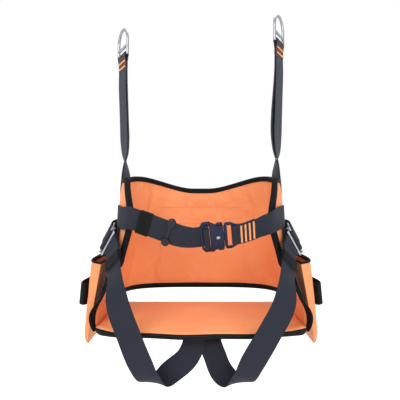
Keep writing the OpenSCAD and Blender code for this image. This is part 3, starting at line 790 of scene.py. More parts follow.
def back_pad():
    rows, cols = 84, 156
    d = edge_u(PAD_IN)

    def at(row, col):
        """Place on the back and how far the pad is full there."""
        u = mix(d, 1 - d, col / cols)
        e = edge_v(u, PAD_IN)
        v = mix(e, 1 - e, row / rows)
        edge = min(min(u, 1 - u) * BACK_ROUND - PAD_IN, min(v - e, 1 - e - v) * PAD_HIGH)
        return u, v, ease(edge / PAD_EDGE)

    def place(row, col, face):
        u, v, full = at(row, col)
        p = panel(u, v)
        if face == "outer":
            return hang(panel(u, v, PANEL_T - 1.2 * (1 - full) + 0.1 * soft_lumps(p, 40, 5)))
        lumps = PAD_SWELL + 0.5 * soft_lumps(p, 70, 3) + 0.25 * soft_lumps(p, 22, 7)
        return hang(panel(u, v, 1.0 - full * (lumps - SEAM_DEPTH * seam_dip(p))))

    pad = layered("back_pad", rows, cols, place, ("inner", "outer"), (0.69, 0.25))
    inside = (rows + 1) * (cols + 1)

    def sewn(v):
        """The outer face, the edge under the tape and the seams stay where they are."""
        if v.index >= inside:
            return True
        row, col = divmod(v.index, cols + 1)
        u, w, full = at(row, col)
        return full < 0.12 or seam_dip(panel(u, w)) > 0.75

    return filled(pad, sewn, PAD_CAP * MM, PAD_SLACK)


def rim_points(d, r, long_steps=132, side_steps=44, turn=15):
    """The back's edge, set in by d with corners of radius r, as pairs of u and v."""
    e, x = edge_u(d), edge_u(r)
    f, y = edge_v(0, d), edge_v(0, r)

    def corner(u, v, start):
        turns = range(start, start + 91, turn)
        return [(u + x * math.cos(math.radians(a)), v + y * math.sin(math.radians(a))) for a in turns]

    low = [mix(e + x, 1 - e - x, i / long_steps) for i in range(1, long_steps)]
    up = [mix(f + y, 1 - f - y, i / side_steps) for i in range(1, side_steps)]
    points = [(u, edge_v(u, d)) for u in low] + corner(1 - e - x, f + y, -90)
    points += [(1 - e, v) for v in up] + corner(1 - e - x, 1 - f - y, 0)
    points += [(u, 1 - edge_v(u, d)) for u in reversed(low)] + corner(e + x, 1 - f - y, 90)
    points += [(e, v) for v in reversed(up)] + corner(e + x, f + y, 180)
    return points


# Corner radii of the back's edge and of the tape's inner edge, and the steps of a fine line round them
RIM_R, TAPE_R = 16, 2
FINE_RIM = (700, 220, 5)
TAPE_SEAM = 0.78
TAPE_OUTLINE = [
    (1.0, 0.2), (0.97, -0.7), (0.86, -1.2), (0.6, -1.35), (0.3, -1.2), (0.1, -0.5), (0.0, 1.2), (-0.02, 4.0),
    (0.0, 6.8), (0.1, 8.5), (0.3, 9.2), (0.6, 9.35), (0.86, 9.2), (0.97, 8.7), (1.0, 7.8), (0.9, 4.0),
]


def back_tape():
    outer, inner = rim_points(0, RIM_R), rim_points(BIND_W, TAPE_R)
    count = len(outer)

    def place(row, col):
        depth, off = TAPE_OUTLINE[row % len(TAPE_OUTLINE)]
        (ua, va), (ub, vb) = outer[col % count], inner[col % count]
        slack = 1 + 0.02 * math.sin(col * 0.23) * (depth > 0.5)
        return hang(panel(mix(ua, ub, depth * slack), mix(va, vb, depth * slack), off))

    return rolled("back_edge_tape", len(TAPE_OUTLINE), count, place, (2.1, 0.036), caps=False)


def rim_row(depth, off, outward):
    """A line of stitching along the tape, at a share of its width."""
    outer, inner = rim_points(0, RIM_R, *FINE_RIM), rim_points(BIND_W, TAPE_R, *FINE_RIM)
    row = []
    for (ua, va), (ub, vb) in zip(outer, inner):
        u, v = mix(ua, ub, depth), mix(va, vb, depth)
        p = panel(u, v, off)
        row.append((p, (panel(u, v, off + 1) - p) * outward))
    return row


dress(back_pad(), CLOTH, "back_panel")
dress(back_tape(), TAPE, "back_binding")
rim_rows = [rim_row(TAPE_SEAM, -1.25, -1), rim_row(TAPE_SEAM, 9.3, 1)]
dress(stitches("back_tape_stitches", rim_rows), DARK_THREAD)


def angle_at(x, z):
    """Angle from the rear at which the back stands about x to the side."""
    return math.degrees(math.atan2(x, half_d(z)))


def on_face(x, z):
    """A point just proud of the inner face of the back, and the way that face looks."""
    p, out = plan(angle_at(x, z), z)
    return p - out * 0.1, -out


def level_row(z):
    """A level line of stitching on the inner face of the back."""
    reach = SEAM_REACH - 6
    return [on_face(float(x), z) for x in range(-reach, reach + 1)]


def dart_row(side, steps=59):
    """A slanting line of stitching from the upper seam to the top of the back."""
    row = []
    for k in range(steps + 1):
        t = k / steps
        row.append(on_face(side * mix(PATCH_LOW, PATCH_TOP, t), mix(SEAM_LEVELS[0] + 2, PATCH_Z, t)))
    return row


seam_rows = [level_row(z) for z in SEAM_LEVELS] + [dart_row(side) for side in WORDS]
dress(stitches("back_seam_stitches", seam_rows, 2.6, 0.9, 0.9), CLOTH_THREAD)


def back_patch():
    foot = BELT_Z + WEB_W / 2 + 2
    rows, cols = 12, 24

    def place(row, col, off):
        z = mix(foot, PATCH_Z, row / rows)
        x = mix(-1, 1, col / cols) * mix(PATCH_LOW, PATCH_TOP, row / rows)
        return hang(on_back(angle_at(x, z), z, PANEL_T + off))

    return layered("back_patch_cloth", rows, cols, place, (1.5, 0.4), (0.08, 0.03))


dress(back_patch(), CLOTH, "back_patch")


# Seat: crowned pad on its board, with tape round the edge


def seat_ring(inset, bow_steps=26, turn_steps=10):
    """The seat's outline, drawn in by an inset."""
    r = max(SEAT_R - inset, 4)
    k = SEAT_R - inset - r
    x = SEAT_W / 2 - SEAT_R + k
    rear, front = SEAT_REAR - SEAT_R + k, SEAT_FRONT + SEAT_R - k
    shares = [i / bow_steps for i in range(1, bow_steps)]

    def arc(cx, cy, start):
        turns = [math.radians(start + 90 * i / turn_steps) for i in range(turn_steps + 1)]
        return [(cx + r * math.cos(a), cy + r * math.sin(a)) for a in turns]

    def bow(t):
        return SEAT_FRONT + inset - SEAT_BOW * (1 - (2 * t - 1) ** 2)

    line = [(x + r, mix(front, rear, t)) for t in shares] + arc(x, rear, 0)
    line += [(mix(x, -x, t), SEAT_REAR - inset) for t in shares] + arc(-x, rear, 90)
    line += [(-x - r, mix(rear, front, t)) for t in shares] + arc(-x, front, 180)
    line += [(mix(-x, x, t), bow(t)) for t in shares] + arc(x, front, 270)
    return line


# Insets and heights of the pad, from its underside round the edge and up to the crown
EDGE_IN, EDGE_Z = 8, 0.1
CROWN, CROWN_STEPS, CROWN_IN, CROWN_POWER = 4.1, 20, 95, 3.6
SEAT_LEVELS = [
    (EDGE_IN, -SEAT_T), (5.6, 0.6 - SEAT_T), (3.2, 2.8 - SEAT_T), (2.2, -8.6), (2.0, -6), (2.2, -3), (4, -1),
    (EDGE_IN, EDGE_Z),
]
for k in range(1, CROWN_STEPS + 1):
    fall = (1 - k / CROWN_STEPS) ** CROWN_POWER
    SEAT_LEVELS.append((EDGE_IN + CROWN_IN * k / CROWN_STEPS, EDGE_Z + CROWN * (1 - fall)))
PAD_STEPS = 64

# Share of the front edge that the tape covers, and the lift of that edge: its wave, and its corners
TAPE_RISE = 0.55
WAVE_H, WAVE_X = 0.8, 21
CORNER_X, CORNER_W, CORNER_Y, CORNER_D = 165, 40, 36, 34
CORNER_LOW, CORNER_GAIN = 1.5, 4


def at_front(y):
    """Share of the seat's front edge at a depth."""
    return ease((SEAT_FRONT + 30 - y) / 20)


def seat_lift(x, y, z):
    """How far the seat's front edge rises: a little wave, and a sweep at the corners up to the wings."""
    corner = ease((abs(x) - CORNER_X) / CORNER_W) * ease((SEAT_FRONT + CORNER_Y - y) / CORNER_D)
    wave = at_front(y) * WAVE_H * math.sin(x / WAVE_X)
    return wave + corner * (CORNER_LOW + CORNER_GAIN * (z + SEAT_T) / SEAT_T)


def seat_pad():
    rings = [seat_ring(i, PAD_STEPS) for i, _ in SEAT_LEVELS]
    full = [seat_ring(max(i - 2, 0.1), PAD_STEPS) for i, _ in SEAT_LEVELS]
    count = len(rings[0])

    def place(row, col):
        """The cloth is full along the sides and the rear, and drawn in below the tape at the front."""
        x, y = rings[row][col % count]
        z = SEAT_LEVELS[row][1]
        if z > -7:
            x, y = Vector(full[row][col % count]).lerp(Vector((x, y)), at_front(y) * TAPE_RISE)
        if z > 0:
            p = vec(x, y, 0)
            z += 0.5 * soft_lumps(p, 60, 11) * ease((SEAT_LEVELS[row][0] - EDGE_IN) / 30)
        return hang((x, y, z + seat_lift(x, y, min(z, 1))))

    bm = laid_grid(len(rings) - 1, count, place, (1.2, 0.12))
    close_up(bm)
    bmesh.ops.triangulate(bm, faces=[f for f in bm.faces if len(f.verts) > 4])
    low = hang((0, 0, 0.6)).z
    return filled(finished("seat_pad", bm), lambda v: v.co.z < low, SEAT_CAP * MM, SEAT_SLACK)


# Insets and heights of the tape's outline, and the place of its stitching on the front face
TAPE_PROUD, STITCH_Z = -0.3, -5.5
SEAT_TAPE = [
    (10, 0.6), (9.6, 1.3), (8, 1.5), (4.5, 1.4), (1.4, 0.4), (0.2, -2), (TAPE_PROUD, -5.5), (0.4, -8.6),
    (1.9, 2.6 - SEAT_T), (4.6, 0.4 - SEAT_T), (7, -SEAT_T - 0.2), (9.6, -SEAT_T - 0.25), (10, 0.6 - SEAT_T),
    (5, -SEAT_T / 2),
]


def seat_tape():
    rings = [seat_ring(i) for i, _ in SEAT_TAPE]
    narrow = [seat_ring(min(i, 2.4)) for i, _ in SEAT_TAPE]
    count = len(rings[0])

    def place(row, col):
        """The tape shows at the front only; along the sides and the rear it stays below the cloth."""
        k = row % len(SEAT_TAPE)
        z = SEAT_TAPE[k][1]
        wide, thin = Vector(rings[k][col % count]), Vector(narrow[k][col % count])
        front = at_front(wide.y) * TAPE_RISE
        if z > -SEAT_T / 2:
            wide = thin.lerp(wide, front)
            z = mix(min(z, -6.4), z, front)
        return hang((wide.x, wide.y, z + seat_lift(wide.x, wide.y, z)))

    return rolled("seat_edge_tape", len(SEAT_TAPE), count, place, (1.25, 0.045), caps=False)


def dense(points, step=0.8):
    """Points every step along a closed outline."""
    out = []
    for p, q in zip(points, points[1:] + points[:1]):
        n = max(1, int((Vector(q) - Vector(p)).length / step))
        out += [Vector(p).lerp(Vector(q), i / n) for i in range(n)]
    return out


dress(seat_pad(), CLOTH, "seat_cover")
dress(seat_tape(), TAPE, "seat_binding")
front_row = [p for p in dense(seat_ring(TAPE_PROUD)) if p.y < SEAT_FRONT + 3]
front_row.sort(key=lambda p: p.x)
seat_row = [(vec(p.x, p.y, STITCH_Z + seat_lift(p.x, p.y, STITCH_Z)), ACROSS) for p in front_row]
dress(stitches("seat_tape_stitches", [seat_row]), DARK_THREAD)
coat(nodes["seat_board"], BOARD)


# Side wings and the tape on their open edges

WING_IN = 0.08
LIP, LIP_AHEAD, LIP_U, LIP_V = 11, 3, 0.86, 0.52


def flared(u, v, off):
    """The wing's face with its front edge turned outwards above the seat's corner."""
    lip = ease((u - LIP_U) / (1 - LIP_U)) * math.sin(math.pi * min(v / LIP_V, 1))
    return wing(u, v, off) + vec(LIP * lip, -LIP_AHEAD * lip, 0)


def wing_cloth(side):
    rows, cols = 26, 44

    def place(row, col, off):
        v = row / rows
        u = mix(WING_IN - 0.03, 1.03 - WING_IN, col / cols)
        lump = 0.5 * soft_lumps(wing(u, v), 26, 17 + side)
        fold = (math.sin(9 * u + 4 * v) * math.sin(math.pi * v) + lump) * math.sin(math.pi * v) * 0.7
        return hang(flared(u, v, off + fold), side)

    return layered(WORDS[side] + "_wing_cloth", rows, cols, place, (WING_T, 0), (0.17, 0.12))


WING_TAPE = [
    (0.0, -0.3), (0.06, -0.9), (0.2, -1.1), (0.6, -1.0), (0.9, -0.6), (1.0, 0.4), (1.03, 1.4), (1.0, 2.6),
    (0.9, 3.6), (0.6, 4.0), (0.2, 4.0), (0.06, 3.7), (0.0, 3.0), (0.3, 1.4),
]


def wing_tape(side, front):
    cols = 40
    u0, u1 = (1 - WING_IN, 1.0) if front else (WING_IN, 0.0)

    def place(row, col):
        depth, off = WING_TAPE[row % len(WING_TAPE)]
        v = mix(0.02, 0.985, col / cols)
        return hang(flared(mix(u0, u1, depth), v, off), side)

    name = WORDS[side] + ("_wing_tape" if front else "_slot_tape")
    return rolled(name, len(WING_TAPE), cols, place, (0.13, 0.034))


for side, word in WORDS.items():
    cloth = dress(wing_cloth(side), CLOTH, word + "_wing")
    dress(wing_tape(side, True), TAPE, word + "_wing_binding")
    dress(wing_tape(side, False), TAPE, word + "_slot_binding")


# Webbing under the seat


def sling_top(u):
    return on_back(mix(SLOT_A, LOW_A, u), BELT_Z - 85, LEG_OFF + 1.5)


def sling_at(u, z):
    p, q = sling_top(u), vec(SEAT_W / 2 + WING_T + 4.4, wing_y(u), 4)
    t = (p.z - z) / (p.z - q.z)
    return mix(p, q, t) + vec(16 * u * t * (1 - t), 0, 0)


def sling_stations(u):
    a, y = mix(SLOT_A, LOW_A, u), wing_y(u)
    under = -SEAT_T - SEWN - WEB_T / 2
    top = BELT_Z - WEB_W / 2 - 2
    half = [
        (on_back(a, top, LEG_OFF + 0.3), around(a, top)),
        (on_back(a, BELT_Z - 55, LEG_OFF + 0.8), around(a, BELT_Z - 55)),
        (sling_top(u), around(a, BELT_Z - 85)),
        (sling_at(u, 92), mix(around(a, 92), ACROSS, 0.5)),
        (sling_at(u, 50), ACROSS),
        (sling_at(u, 4), ACROSS),
        (vec(SEAT_W / 2 + WING_T + 3.4, y, 5 - SEAT_T), ACROSS),
        (vec(SEAT_W / 2 + WING_T + 0.6, y, under + 1), ACROSS),
        (vec(SEAT_W / 2 - 6, y, under), ACROSS),
        (vec(SEAT_W / 2 - 16, y, under), ACROSS),
    ]
    return half + mirrored(half)[::-1]


strap("front_sling", sling_stations(FRONT_SLING_U), 9)
strap("rear_sling", sling_stations(REAR_SLING_U), 9)


# Risers from the hips to the rings

RING_HALF = WEB_W / 2 + 3 + RING_WIRE / 2
RING_EYE = RING_SIDE + RING_HALF - RING_WIRE / 2


def ring_bar(side):
    return vec(RING_X, RING_Y, SEAT_DROP + side * RING_OFFSET / 2 - RING_EYE)


RING_LINE = vec(-math.cos(math.radians(RING_TURN)), -math.sin(math.radians(RING_TURN)), 0)
RING_FACE = vec(math.sin(math.radians(RING_TURN)), -math.cos(math.radians(RING_TURN)), 0)


# Places down the free length of a riser, where its twist starts, and how far each strand sways to the side
FREE_STEPS = (0.2, 0.42, 0.62, 0.78, 0.9)
TWIST_FROM = 0.68
SWAYS = {
    1: ((-2, -4.5, -4, -1, 0.5), (0, 0, 0, 0.5, -0.5)),
    -1: ((0, 0, 0, 0.4, 0.7), (0, 0, 0, -0.4, -0.7)),
}


def strand(top, foot, sway):
    """The free length of one strand: it keeps the ring's turn and twists just above the hip."""
    (upper, w), (lower, line) = top, foot
    return [
        (mix(upper, lower, t) + vec(x, 0, 0), mix(w, line, ease((t - TWIST_FROM) / (1 - TWIST_FROM))))
        for t, x in zip(FREE_STEPS, sway)
    ]


def riser_stations(side):
    c, w, n = ring_bar(side), RING_LINE, RING_FACE
    r = RING_WIRE / 2 + RUN + WEB_T / 2
    g = WEB_T / 2 + SEWN / 2
    top = top_z(LEG_A)
    foot = BELT_Z + WEB_W / 2 + 2
    levels = [(foot, LEG_OFF), (foot + 10, LEG_OFF), (top - BIND_W - 6, EDGE_OFF), (top + 4, EDGE_OFF)]
    part = (0, 0, 0.5, 1.5)
    inner = [(on_back(LEG_A, z, off), around(LEG_A, z)) for z, off in levels]
    outside = [(z, off + WEB_T + SEWN + p) for (z, off), p in zip(levels, part)]
    outer = [(on_back(LEG_A, z, off), around(LEG_A, z)) for z, off in reversed(outside)]
    stub = ((6, r - 1), (18, g + 0.5), (40, g + 0.6), (64, g + 0.9))
    turns = [math.radians(a) for a in range(180, -1, -30)]
    over = [(c + n * r * math.cos(a) + UP * r * math.sin(a), w) for a in turns]
    front = [(c - n * off - UP * d, w) for d, off in reversed(stub)]
    back = [(c + n * off - UP * d, w) for d, off in stub]
    inner_sway, outer_sway = SWAYS[side]
    rising = strand(front[0], inner[-1], inner_sway)[::-1]
    falling = strand(back[-1], outer[0], outer_sway)
    return inner + rising + front + over + back + falling + outer


def stub_face(d):
    """How far the outer face of the webbing stands off at a drop below a ring's bar."""
    round_bar = RING_WIRE / 2 + RUN + WEB_T / 2 - 1
    return mix(round_bar, (WEB_T + SEWN) / 2 + 0.5, ease((d - 6) / 12)) + WEB_T / 2


def ring_patch(name, side, face):
    """The close sewn block below a ring, on one face of the doubled webbing."""
    c, w, n = ring_bar(side), RING_LINE, RING_FACE * face
    line = [(c + n * (stub_face(d) - 0.1) - UP * d, w) for d in (10, 14, 18, 24, 31)]
    return band(name, fine(sided(line, side), 6), flat_profile(WEB_W - 1, 0.9))


def ring_tacks(name, side):
    c = ring_bar(side)
    laid = []
    for face in (1, -1):
        out = RING_FACE * face
        for d in (14.5, 27):
            middle = c + out * (stub_face(d) + 0.4) - UP * d
            ends = [(middle + RING_LINE * k * (WEB_W / 2 - 2.5), out) for k in (1, -1)]
            (p, facing, _), (q, *_) = sided([(*end, 0) for end in ends], side)
            laid += tack(p, q, facing, 4.2)
    return threads(name, laid)


for side, word in WORDS.items():
    strap(word + "_riser", sided(riser_stations(side), side), 9, look=RISER_STRAP)
    for face, which in ((1, "front"), (-1, "rear")):
        dress(ring_patch(f"{word}_ring_patch_{which}", side, face), PATCH_BROWN)
    dress(ring_tacks(word + "_ring_tacks", side), PALE_THREAD)
    coat(nodes[word + "_ring"], STEEL)


# Buckle

BUCKLE_AT = vec(0, -115, BELT_Z - BELT_SAG)
ROLLED = Matrix.Rotation(math.radians(-BUCKLE_ROLL), 3, "Y")
BUCKLE_TURN = ROLLED @ Matrix.Rotation(math.radians(BUCKLE_TILT), 3, "X")
BUCKLE_UP = BUCKLE_TURN @ UP
BUCKLE_OUT = BUCKLE_TURN @ ACROSS


def bk(x, y, z=0):
    return BUCKLE_AT + BUCKLE_TURN @ vec(x, y, z)


for node, body in (("buckle_base", "chair"), ("buckle_cover", "chair"), ("tongue", "tongue")):
    dress(softened(node + "_plate", node, 0.45), ANODISED, node, body=body)
for node in ("upper_clip", "lower_clip"):
    dress(softened(node + "_lever", node, 0.35), PLASTIC, node, body=node)


def in_middle(co):
    """Whether a point of the rivets belongs to the middle one."""
    return abs((Vector(co) - hang(BUCKLE_AT)).dot(BUCKLE_UP)) < 10 * MM


RIVET_EDGE = 0.22
middle_rivet = softened("buckle_middle_rivet", "buckle_rivets", RIVET_EDGE, part=in_middle)
dress(middle_rivet, STEEL, "buckle_rivets")
clip_rivets = softened("buckle_clip_rivets", "buckle_rivets", RIVET_EDGE, part=lambda co: not in_middle(co))
dress(clip_rivets, ANODISED)
dress(softened("buckle_cross_bar", "buckle_bar", 0.3), ANODISED, "buckle_bar")


# Waist belt


def rise(a):
    return (on_back(a, BELT_Z + 20) - on_back(a, BELT_Z - 20)).normalized()


belt_back = [(on_back(a, BELT_Z, BELT_OFF), rise(a)) for a in range(-SPLIT_A, SPLIT_A + 1, 10)]
strap("belt_back", belt_back, 8)

RUN_AT = vec(46 - WAIST_W / 2, -112, BELT_Z - 7)
RUN_DIR = vec(0.94, -0.05, -0.337).normalized()
RUN_UP = square_to(vec(0.32, -0.31, 0.9), RUN_DIR)
RUN_BACK = RUN_UP.cross(RUN_DIR)
BELT_WRAP = [
    (SPLIT_A + 0.3, BELT_OFF, 0, 0), (106, BELT_OFF + 0.6, 0.3, 0.05), (112, EDGE_OFF + 1, 1.2, 0.2),
    (LEAVE_A, EDGE_OFF + 1.8, 3, 0.45),
]
TAIL_Y = GAP_Y + PLATE_T + SEWN + WEB_T / 2
MAIN_Y = TAIL_Y + WEB_T + SEWN


def along_run(s, off):
    return RUN_AT + RUN_DIR * s + RUN_BACK * off


def belt_wrap():
    """The right half of the belt where it leaves the back, from the sewn part on."""
    up = vec(-RUN_UP.x, RUN_UP.y, RUN_UP.z)
    return [(on_back(a, BELT_Z - drop, off), mix(rise(a), up, share)) for a, off, drop, share in BELT_WRAP]


def belt_left_stations():
    wrap = mirrored(belt_wrap())
    bent = vec(27.3 - WAIST_W / 2, -103.9, BELT_Z - 1.6)
    turn = [(bent, mix(rise(-WRAP_A), RUN_UP, 0.84), -LAY / 2)]
    main = turn + [(along_run(d, 0), RUN_UP, -LAY) for d in (-5.7, 5.4, 40, 74, 80)]
    main += [(bk(x, MAIN_Y - LAY), BUCKLE_UP, -LAY) for x in (-14, 2)]
    threaded = [
        (10, MAIN_Y - 0.5), (14.4, 4.6), (15.8, 1.6), (15.7, -0.8), (14, -3), (11, -3.5), (8, -3),
        (6.3, -0.8), (6.2, 1.6), (5.5, 4.2),
    ]
    through = [(bk(x, y), BUCKLE_UP) for x, y in threaded]
    tail = [(bk(x, TAIL_Y + LAY), BUCKLE_UP, -LAY) for x in (2.5, -2, -14)]
    tail += [(along_run(d, 0), RUN_UP, -LAY) for d in (80, 74, 40, 1)]
    return wrap + main + through + tail


strap("belt_left", belt_left_stations(), 9)

CLIMB_X, CLIMB_EASE, CLIMB_DIR = 75, 12, vec(0, 0.06, 0.28)
END_X, TONGUE_BAR = 112, 62


def right_at(x, off):
    """A point of the right half of the belt, which climbs from the tongue to the hip."""
    climb = (x - CLIMB_X) ** 2 / (x - CLIMB_X + CLIMB_EASE) if x > CLIMB_X else 0
    return bk(x, off) + CLIMB_DIR * climb


BAR_OFF = 1.5 + SEWN + WEB_T / 2
loop_points = [
    (END_X - 4, LAY), (94, LAY), (78, LAY), (71, LAY + 0.8), (65, BAR_OFF + 0.2), (61.2, BAR_OFF - 0.2),
    (TONGUE_BAR - 2.2, 0), (61.2, 0.2 - BAR_OFF), (65, -BAR_OFF - 0.2), (71, -LAY - 0.8), (78, -LAY),
    (94, -LAY), (END_X, -LAY),
]
loop_stations = [(right_at(x, y), BUCKLE_UP) for x, y in loop_points]
LOOP_SPAN = ("tongue", "chair", tuple(hang(right_at(66, 0))), tuple(hang(right_at(END_X, 0))))
strap("belt_loop_end", loop_stations, 9, "belt_loop", body=LOOP_SPAN)
right_stations = [(right_at(END_X + d, -LAY), mix(BUCKLE_UP, UP, d / 60)) for d in (0.05, 22)]
right_stations += belt_wrap()[::-1]
strap("belt_right", right_stations, 12)

BELT_TACKS, BELT_TACK_W, BELT_TACK_HALF = (78, 86, 94, 102), 4.6, 20


def belt_tacks():
    laid = []
    half = BUCKLE_UP * BELT_TACK_HALF
    for x in BELT_TACKS:
        middle = right_at(x, -LAY - WEB_T / 2 - 0.25)
        laid += tack(middle + half, middle - half, BUCKLE_OUT, BELT_TACK_W)
    return threads("belt_tacks", laid)


dress(belt_tacks(), TACK_THREAD, body=LOOP_SPAN)


# Keepers on the straps


def hoop_line(w, t, r=1.6, steps=5):
    """A closed line round a strap, across and through."""
    line = []
    for cx, cy, start in ((1, 1, 0), (-1, 1, 90), (-1, -1, 180), (1, -1, 270)):
        for k in range(steps + 1):
            a = math.radians(start + 90 * k / steps)
            line.append((cx * (w / 2 - r) + r * math.cos(a), cy * (t / 2 - r) + r * math.sin(a)))
    out = dense(line, 1.5)
    return out + out[:1]


HOOP_WALL, BELT_HOOP_L, LEG_HOOP_L = 1.2, 25, 22
PACK_W = WEB_W + 2 * RUN + HOOP_WALL
PACK_T = 2 * WEB_T + SEWN + 2 * RUN + HOOP_WALL


def hoop(name, at, along, out, up, length, side=1):
    """An elastic band round doubled webbing, lightly gathered."""
    line = [(at + up * p.x + out * p.y, along) for p in hoop_line(PACK_W, PACK_T)]

    def gathers(s, x):
        return 0.12 * math.sin(s * 1.7) * math.cos(x * 0.5)

    return band(name, sided(line, side), flat_profile(length, HOOP_WALL), True, gathers)


elastic = hoop("belt_elastic_band", along_run(14, 0), RUN_DIR, RUN_BACK, RUN_UP, BELT_HOOP_L)
dress(elastic, TAPE, "belt_elastic", body="belt_elastic")
dress(softened("belt_clip_moulding", "belt_clip", 0.9, 3), PLASTIC, "belt_clip", body="belt_clip")

KEEP_AT = vec(WAIST_W / 2 + 2.4, -107, BELT_Z - 84)
KEEP_DIR = vec(-0.218, -0.782, -0.785).normalized()
KEEP_UP = square_to(vec(-0.587, -0.438, 0.579), KEEP_DIR)
KEEP_OUT = KEEP_UP.cross(KEEP_DIR)


def kept(s, off):
    return KEEP_AT + KEEP_DIR * s + KEEP_OUT * off


# Hips: adjusters, their loops and the leg straps

HIP_AT = vec(WAIST_W / 2 + 19.3, -75.2, BELT_Z - 53.4)
HIP_BACK = vec(0.181, 0.93, 0.351).normalized()
HIP_UP = square_to(vec(-0.546, -0.366, 0.837), HIP_BACK)
HIP_OUT = HIP_BACK.cross(HIP_UP)
ADJ_REAR = 40


def hip(x, z):
    return HIP_AT + HIP_BACK * x + HIP_OUT * z


def hip_loop_stations():
    z = HIP_AT.z + 22
    far = LEG_OFF + WEB_T + SEWN + 3.2
    b = 2 + RUN + WEB_T / 2

    def at(a):
        up = on_back(a, z + 20, far) - on_back(a, z - 20, far)
        return on_back(a, z, far + LAY), up.normalized(), LAY

    root = [at(76), at(84), (hip(ADJ_REAR + 9, 0), HIP_UP, b + 0.3)]
    turn = [(0, -b), (-4, 0.2 - b), (-4.9, 0), (-4, b - 0.2), (0, b)]
    near = [(hip(ADJ_REAR + x, y), HIP_UP) for x, y in turn]
    return root + near + root[::-1]


def held(s):
    return kept(s, 0), KEEP_UP, -LAY


def leg_stations(x, x_mid, x_low, tuck):
    under = -SEAT_T - 2 * SEWN - 1.5 * WEB_T - 0.6 - tuck
    d, f = -LEG_DROP, -LEG_REACH
    lower = [
        ((x, -35, under), (-1, 0, 0)),
        ((x, tuck - 54, under), (-1, 0, 0)),
        ((x, tuck - 62, under), (-1, 0, 0)),
        ((x + 0.5, tuck - 78, under - 5), (-1, 0, -0.1)),
        ((x + 2, tuck - 88, d * 0.39), (-1, 0, -0.2)),
        ((x_mid, tuck - 96, d * 0.61), (-0.93, 0, -0.36)),
        ((x_low - 24, f + 46, d * 0.88), (-0.86, -0.2, -0.45)),
        ((x_low, f + 25, d), (-0.85, -0.52, 0)),
        ((x_low + 15, f + 6, d * 0.82), (-0.86, -0.3, 0.4)),
        ((x_low + 29, f, d * 0.5), (-0.855, 0, 0.52)),
        ((x_low / 2 + 92, f + 5, 4), (-0.85, 0, 0.53)),
    ]
    over = vec(-0.85, 0, 0.53)
    outer = [(vec(153.6, f + 8.9, 60.3), mix(over, KEEP_UP, 0.17))]
    outer += [(vec(162.2, f + 23.3, 104.9), mix(over, KEEP_UP, 0.96), -0.2 * LAY)]
    outer += [held(s) for s in (22.3, 16, -18, -25.9)]
    threaded = [
        (0, -6.4), (7, -5.9), (14.5, -3), (18, 1.4), (17.2, 5.8), (12.3, 7.4), (7.2, 5.8), (6, 1.4),
        (5.2, -2.2), (2.2, -3.8), (-2, -3.8),
    ]
    entry = [(hip(-8.3, -5.1), HIP_UP, -LAY)]
    through = entry + [(hip(px, pz), HIP_UP) for px, pz in threaded] + entry
    return [(vec(*p), vec(*w)) for p, w in lower] + outer + through + [held(s) for s in (-25.9, -18, 13)]


# Each leg strap's place under the seat, half way and at its lowest, and how far it lies below the other
LEG_SHAPES = {1: (17, 27, 64, 2 * WEB_T), -1: (13, 25, 82, 0)}

for side, word in WORDS.items():
    strap(word + "_hip_loop", sided(hip_loop_stations(), side), 9)
    strap(word + "_leg_strap", sided(leg_stations(*LEG_SHAPES[side]), side), 10, word + "_leg")
    keeper = hoop(word + "_leg_keeper_band", KEEP_AT, KEEP_DIR, KEEP_OUT, KEEP_UP, LEG_HOOP_L, side)
    dress(keeper, TAPE, word + "_leg_keeper", body=word + "_leg_keeper")
    dress(softened(word + "_adjuster_frame", word + "_adjuster", 0.8, 3), STEEL, word + "_adjuster")
    dress(softened(word + "_adjuster_slider", word + "_adjuster_bar", 0.4), STEEL, word + "_adjuster_bar")


# Side pouches

POUCH_AT = vec(SEAT_W / 2 - 5, 8, 123)
POUCH_TURN = Matrix.Rotation(math.radians(-POUCH_LEAN), 3, "Y")
RIM_H, WALL, POUCH_LOW_T = 9, 1.8, 11
BAG_TURN, BAG_TURN_SPAN = 0.84, 0.16
BAG_ROWS, LINER_ROWS = 41, 37
HANGER_W, TOOL_LOOP_Z = 30, -74


def in_pouch(x, y, z):
    return POUCH_AT + POUCH_TURN @ vec(x, y, z)


def pouch_outline(z, inset, steps=72):
    """Plan of the bag at a depth below its mouth: flat at the back and bellied in front."""
    drop = min(max(-z / POUCH_H, 0), 1)
    belly = mix(POUCH_T, POUCH_LOW_T, drop) + 1.3 * math.sin(math.pi * drop)
    low = max(0, (drop - BAG_TURN) / BAG_TURN_SPAN)
    shrink = math.sqrt(max(1 - low * low, 0.0004))
    half = (POUCH_L / 2 - inset) * (1 - 0.18 * (1 - shrink))
    deep = max(belly * shrink - inset, inset + 0.4)
    points = []
    for k in range(steps):
        a = 2 * math.pi * k / steps
        c, s = math.cos(a), math.sin(a)
        y = half * math.copysign(abs(s) ** 0.42, s)
        reach = abs(c) ** 0.55
        x = mix(inset, deep, reach) if c > 0 else inset * (1 - 0.2 * reach)
        points.append((x, y))
    return points


def pouch_bag(side):
    levels = [-2 - k * (POUCH_H - 2) / (BAG_ROWS - 1) for k in range(BAG_ROWS)]
    rows = [(z, pouch_outline(z, 0)) for z in reversed(levels)]
    rows += [(z, pouch_outline(z, WALL)) for z in levels[:LINER_ROWS]]
    count = len(rows[0][1])

    def place(row, col):
        z, ring = rows[row]
        x, y = ring[col % count]
        p = vec(x, y, z)
        sag = soft_lumps(p, 34, 21 + 3 * side) * 0.9 * math.sin(math.pi * min(-z / POUCH_H, 1))
        x += sag * (x > 3)
        return hang(in_pouch(x, y, z), side)

    return rolled(WORDS[side] + "_pouch_bag", len(rows) - 1, count, place, (0.36, 0.36))


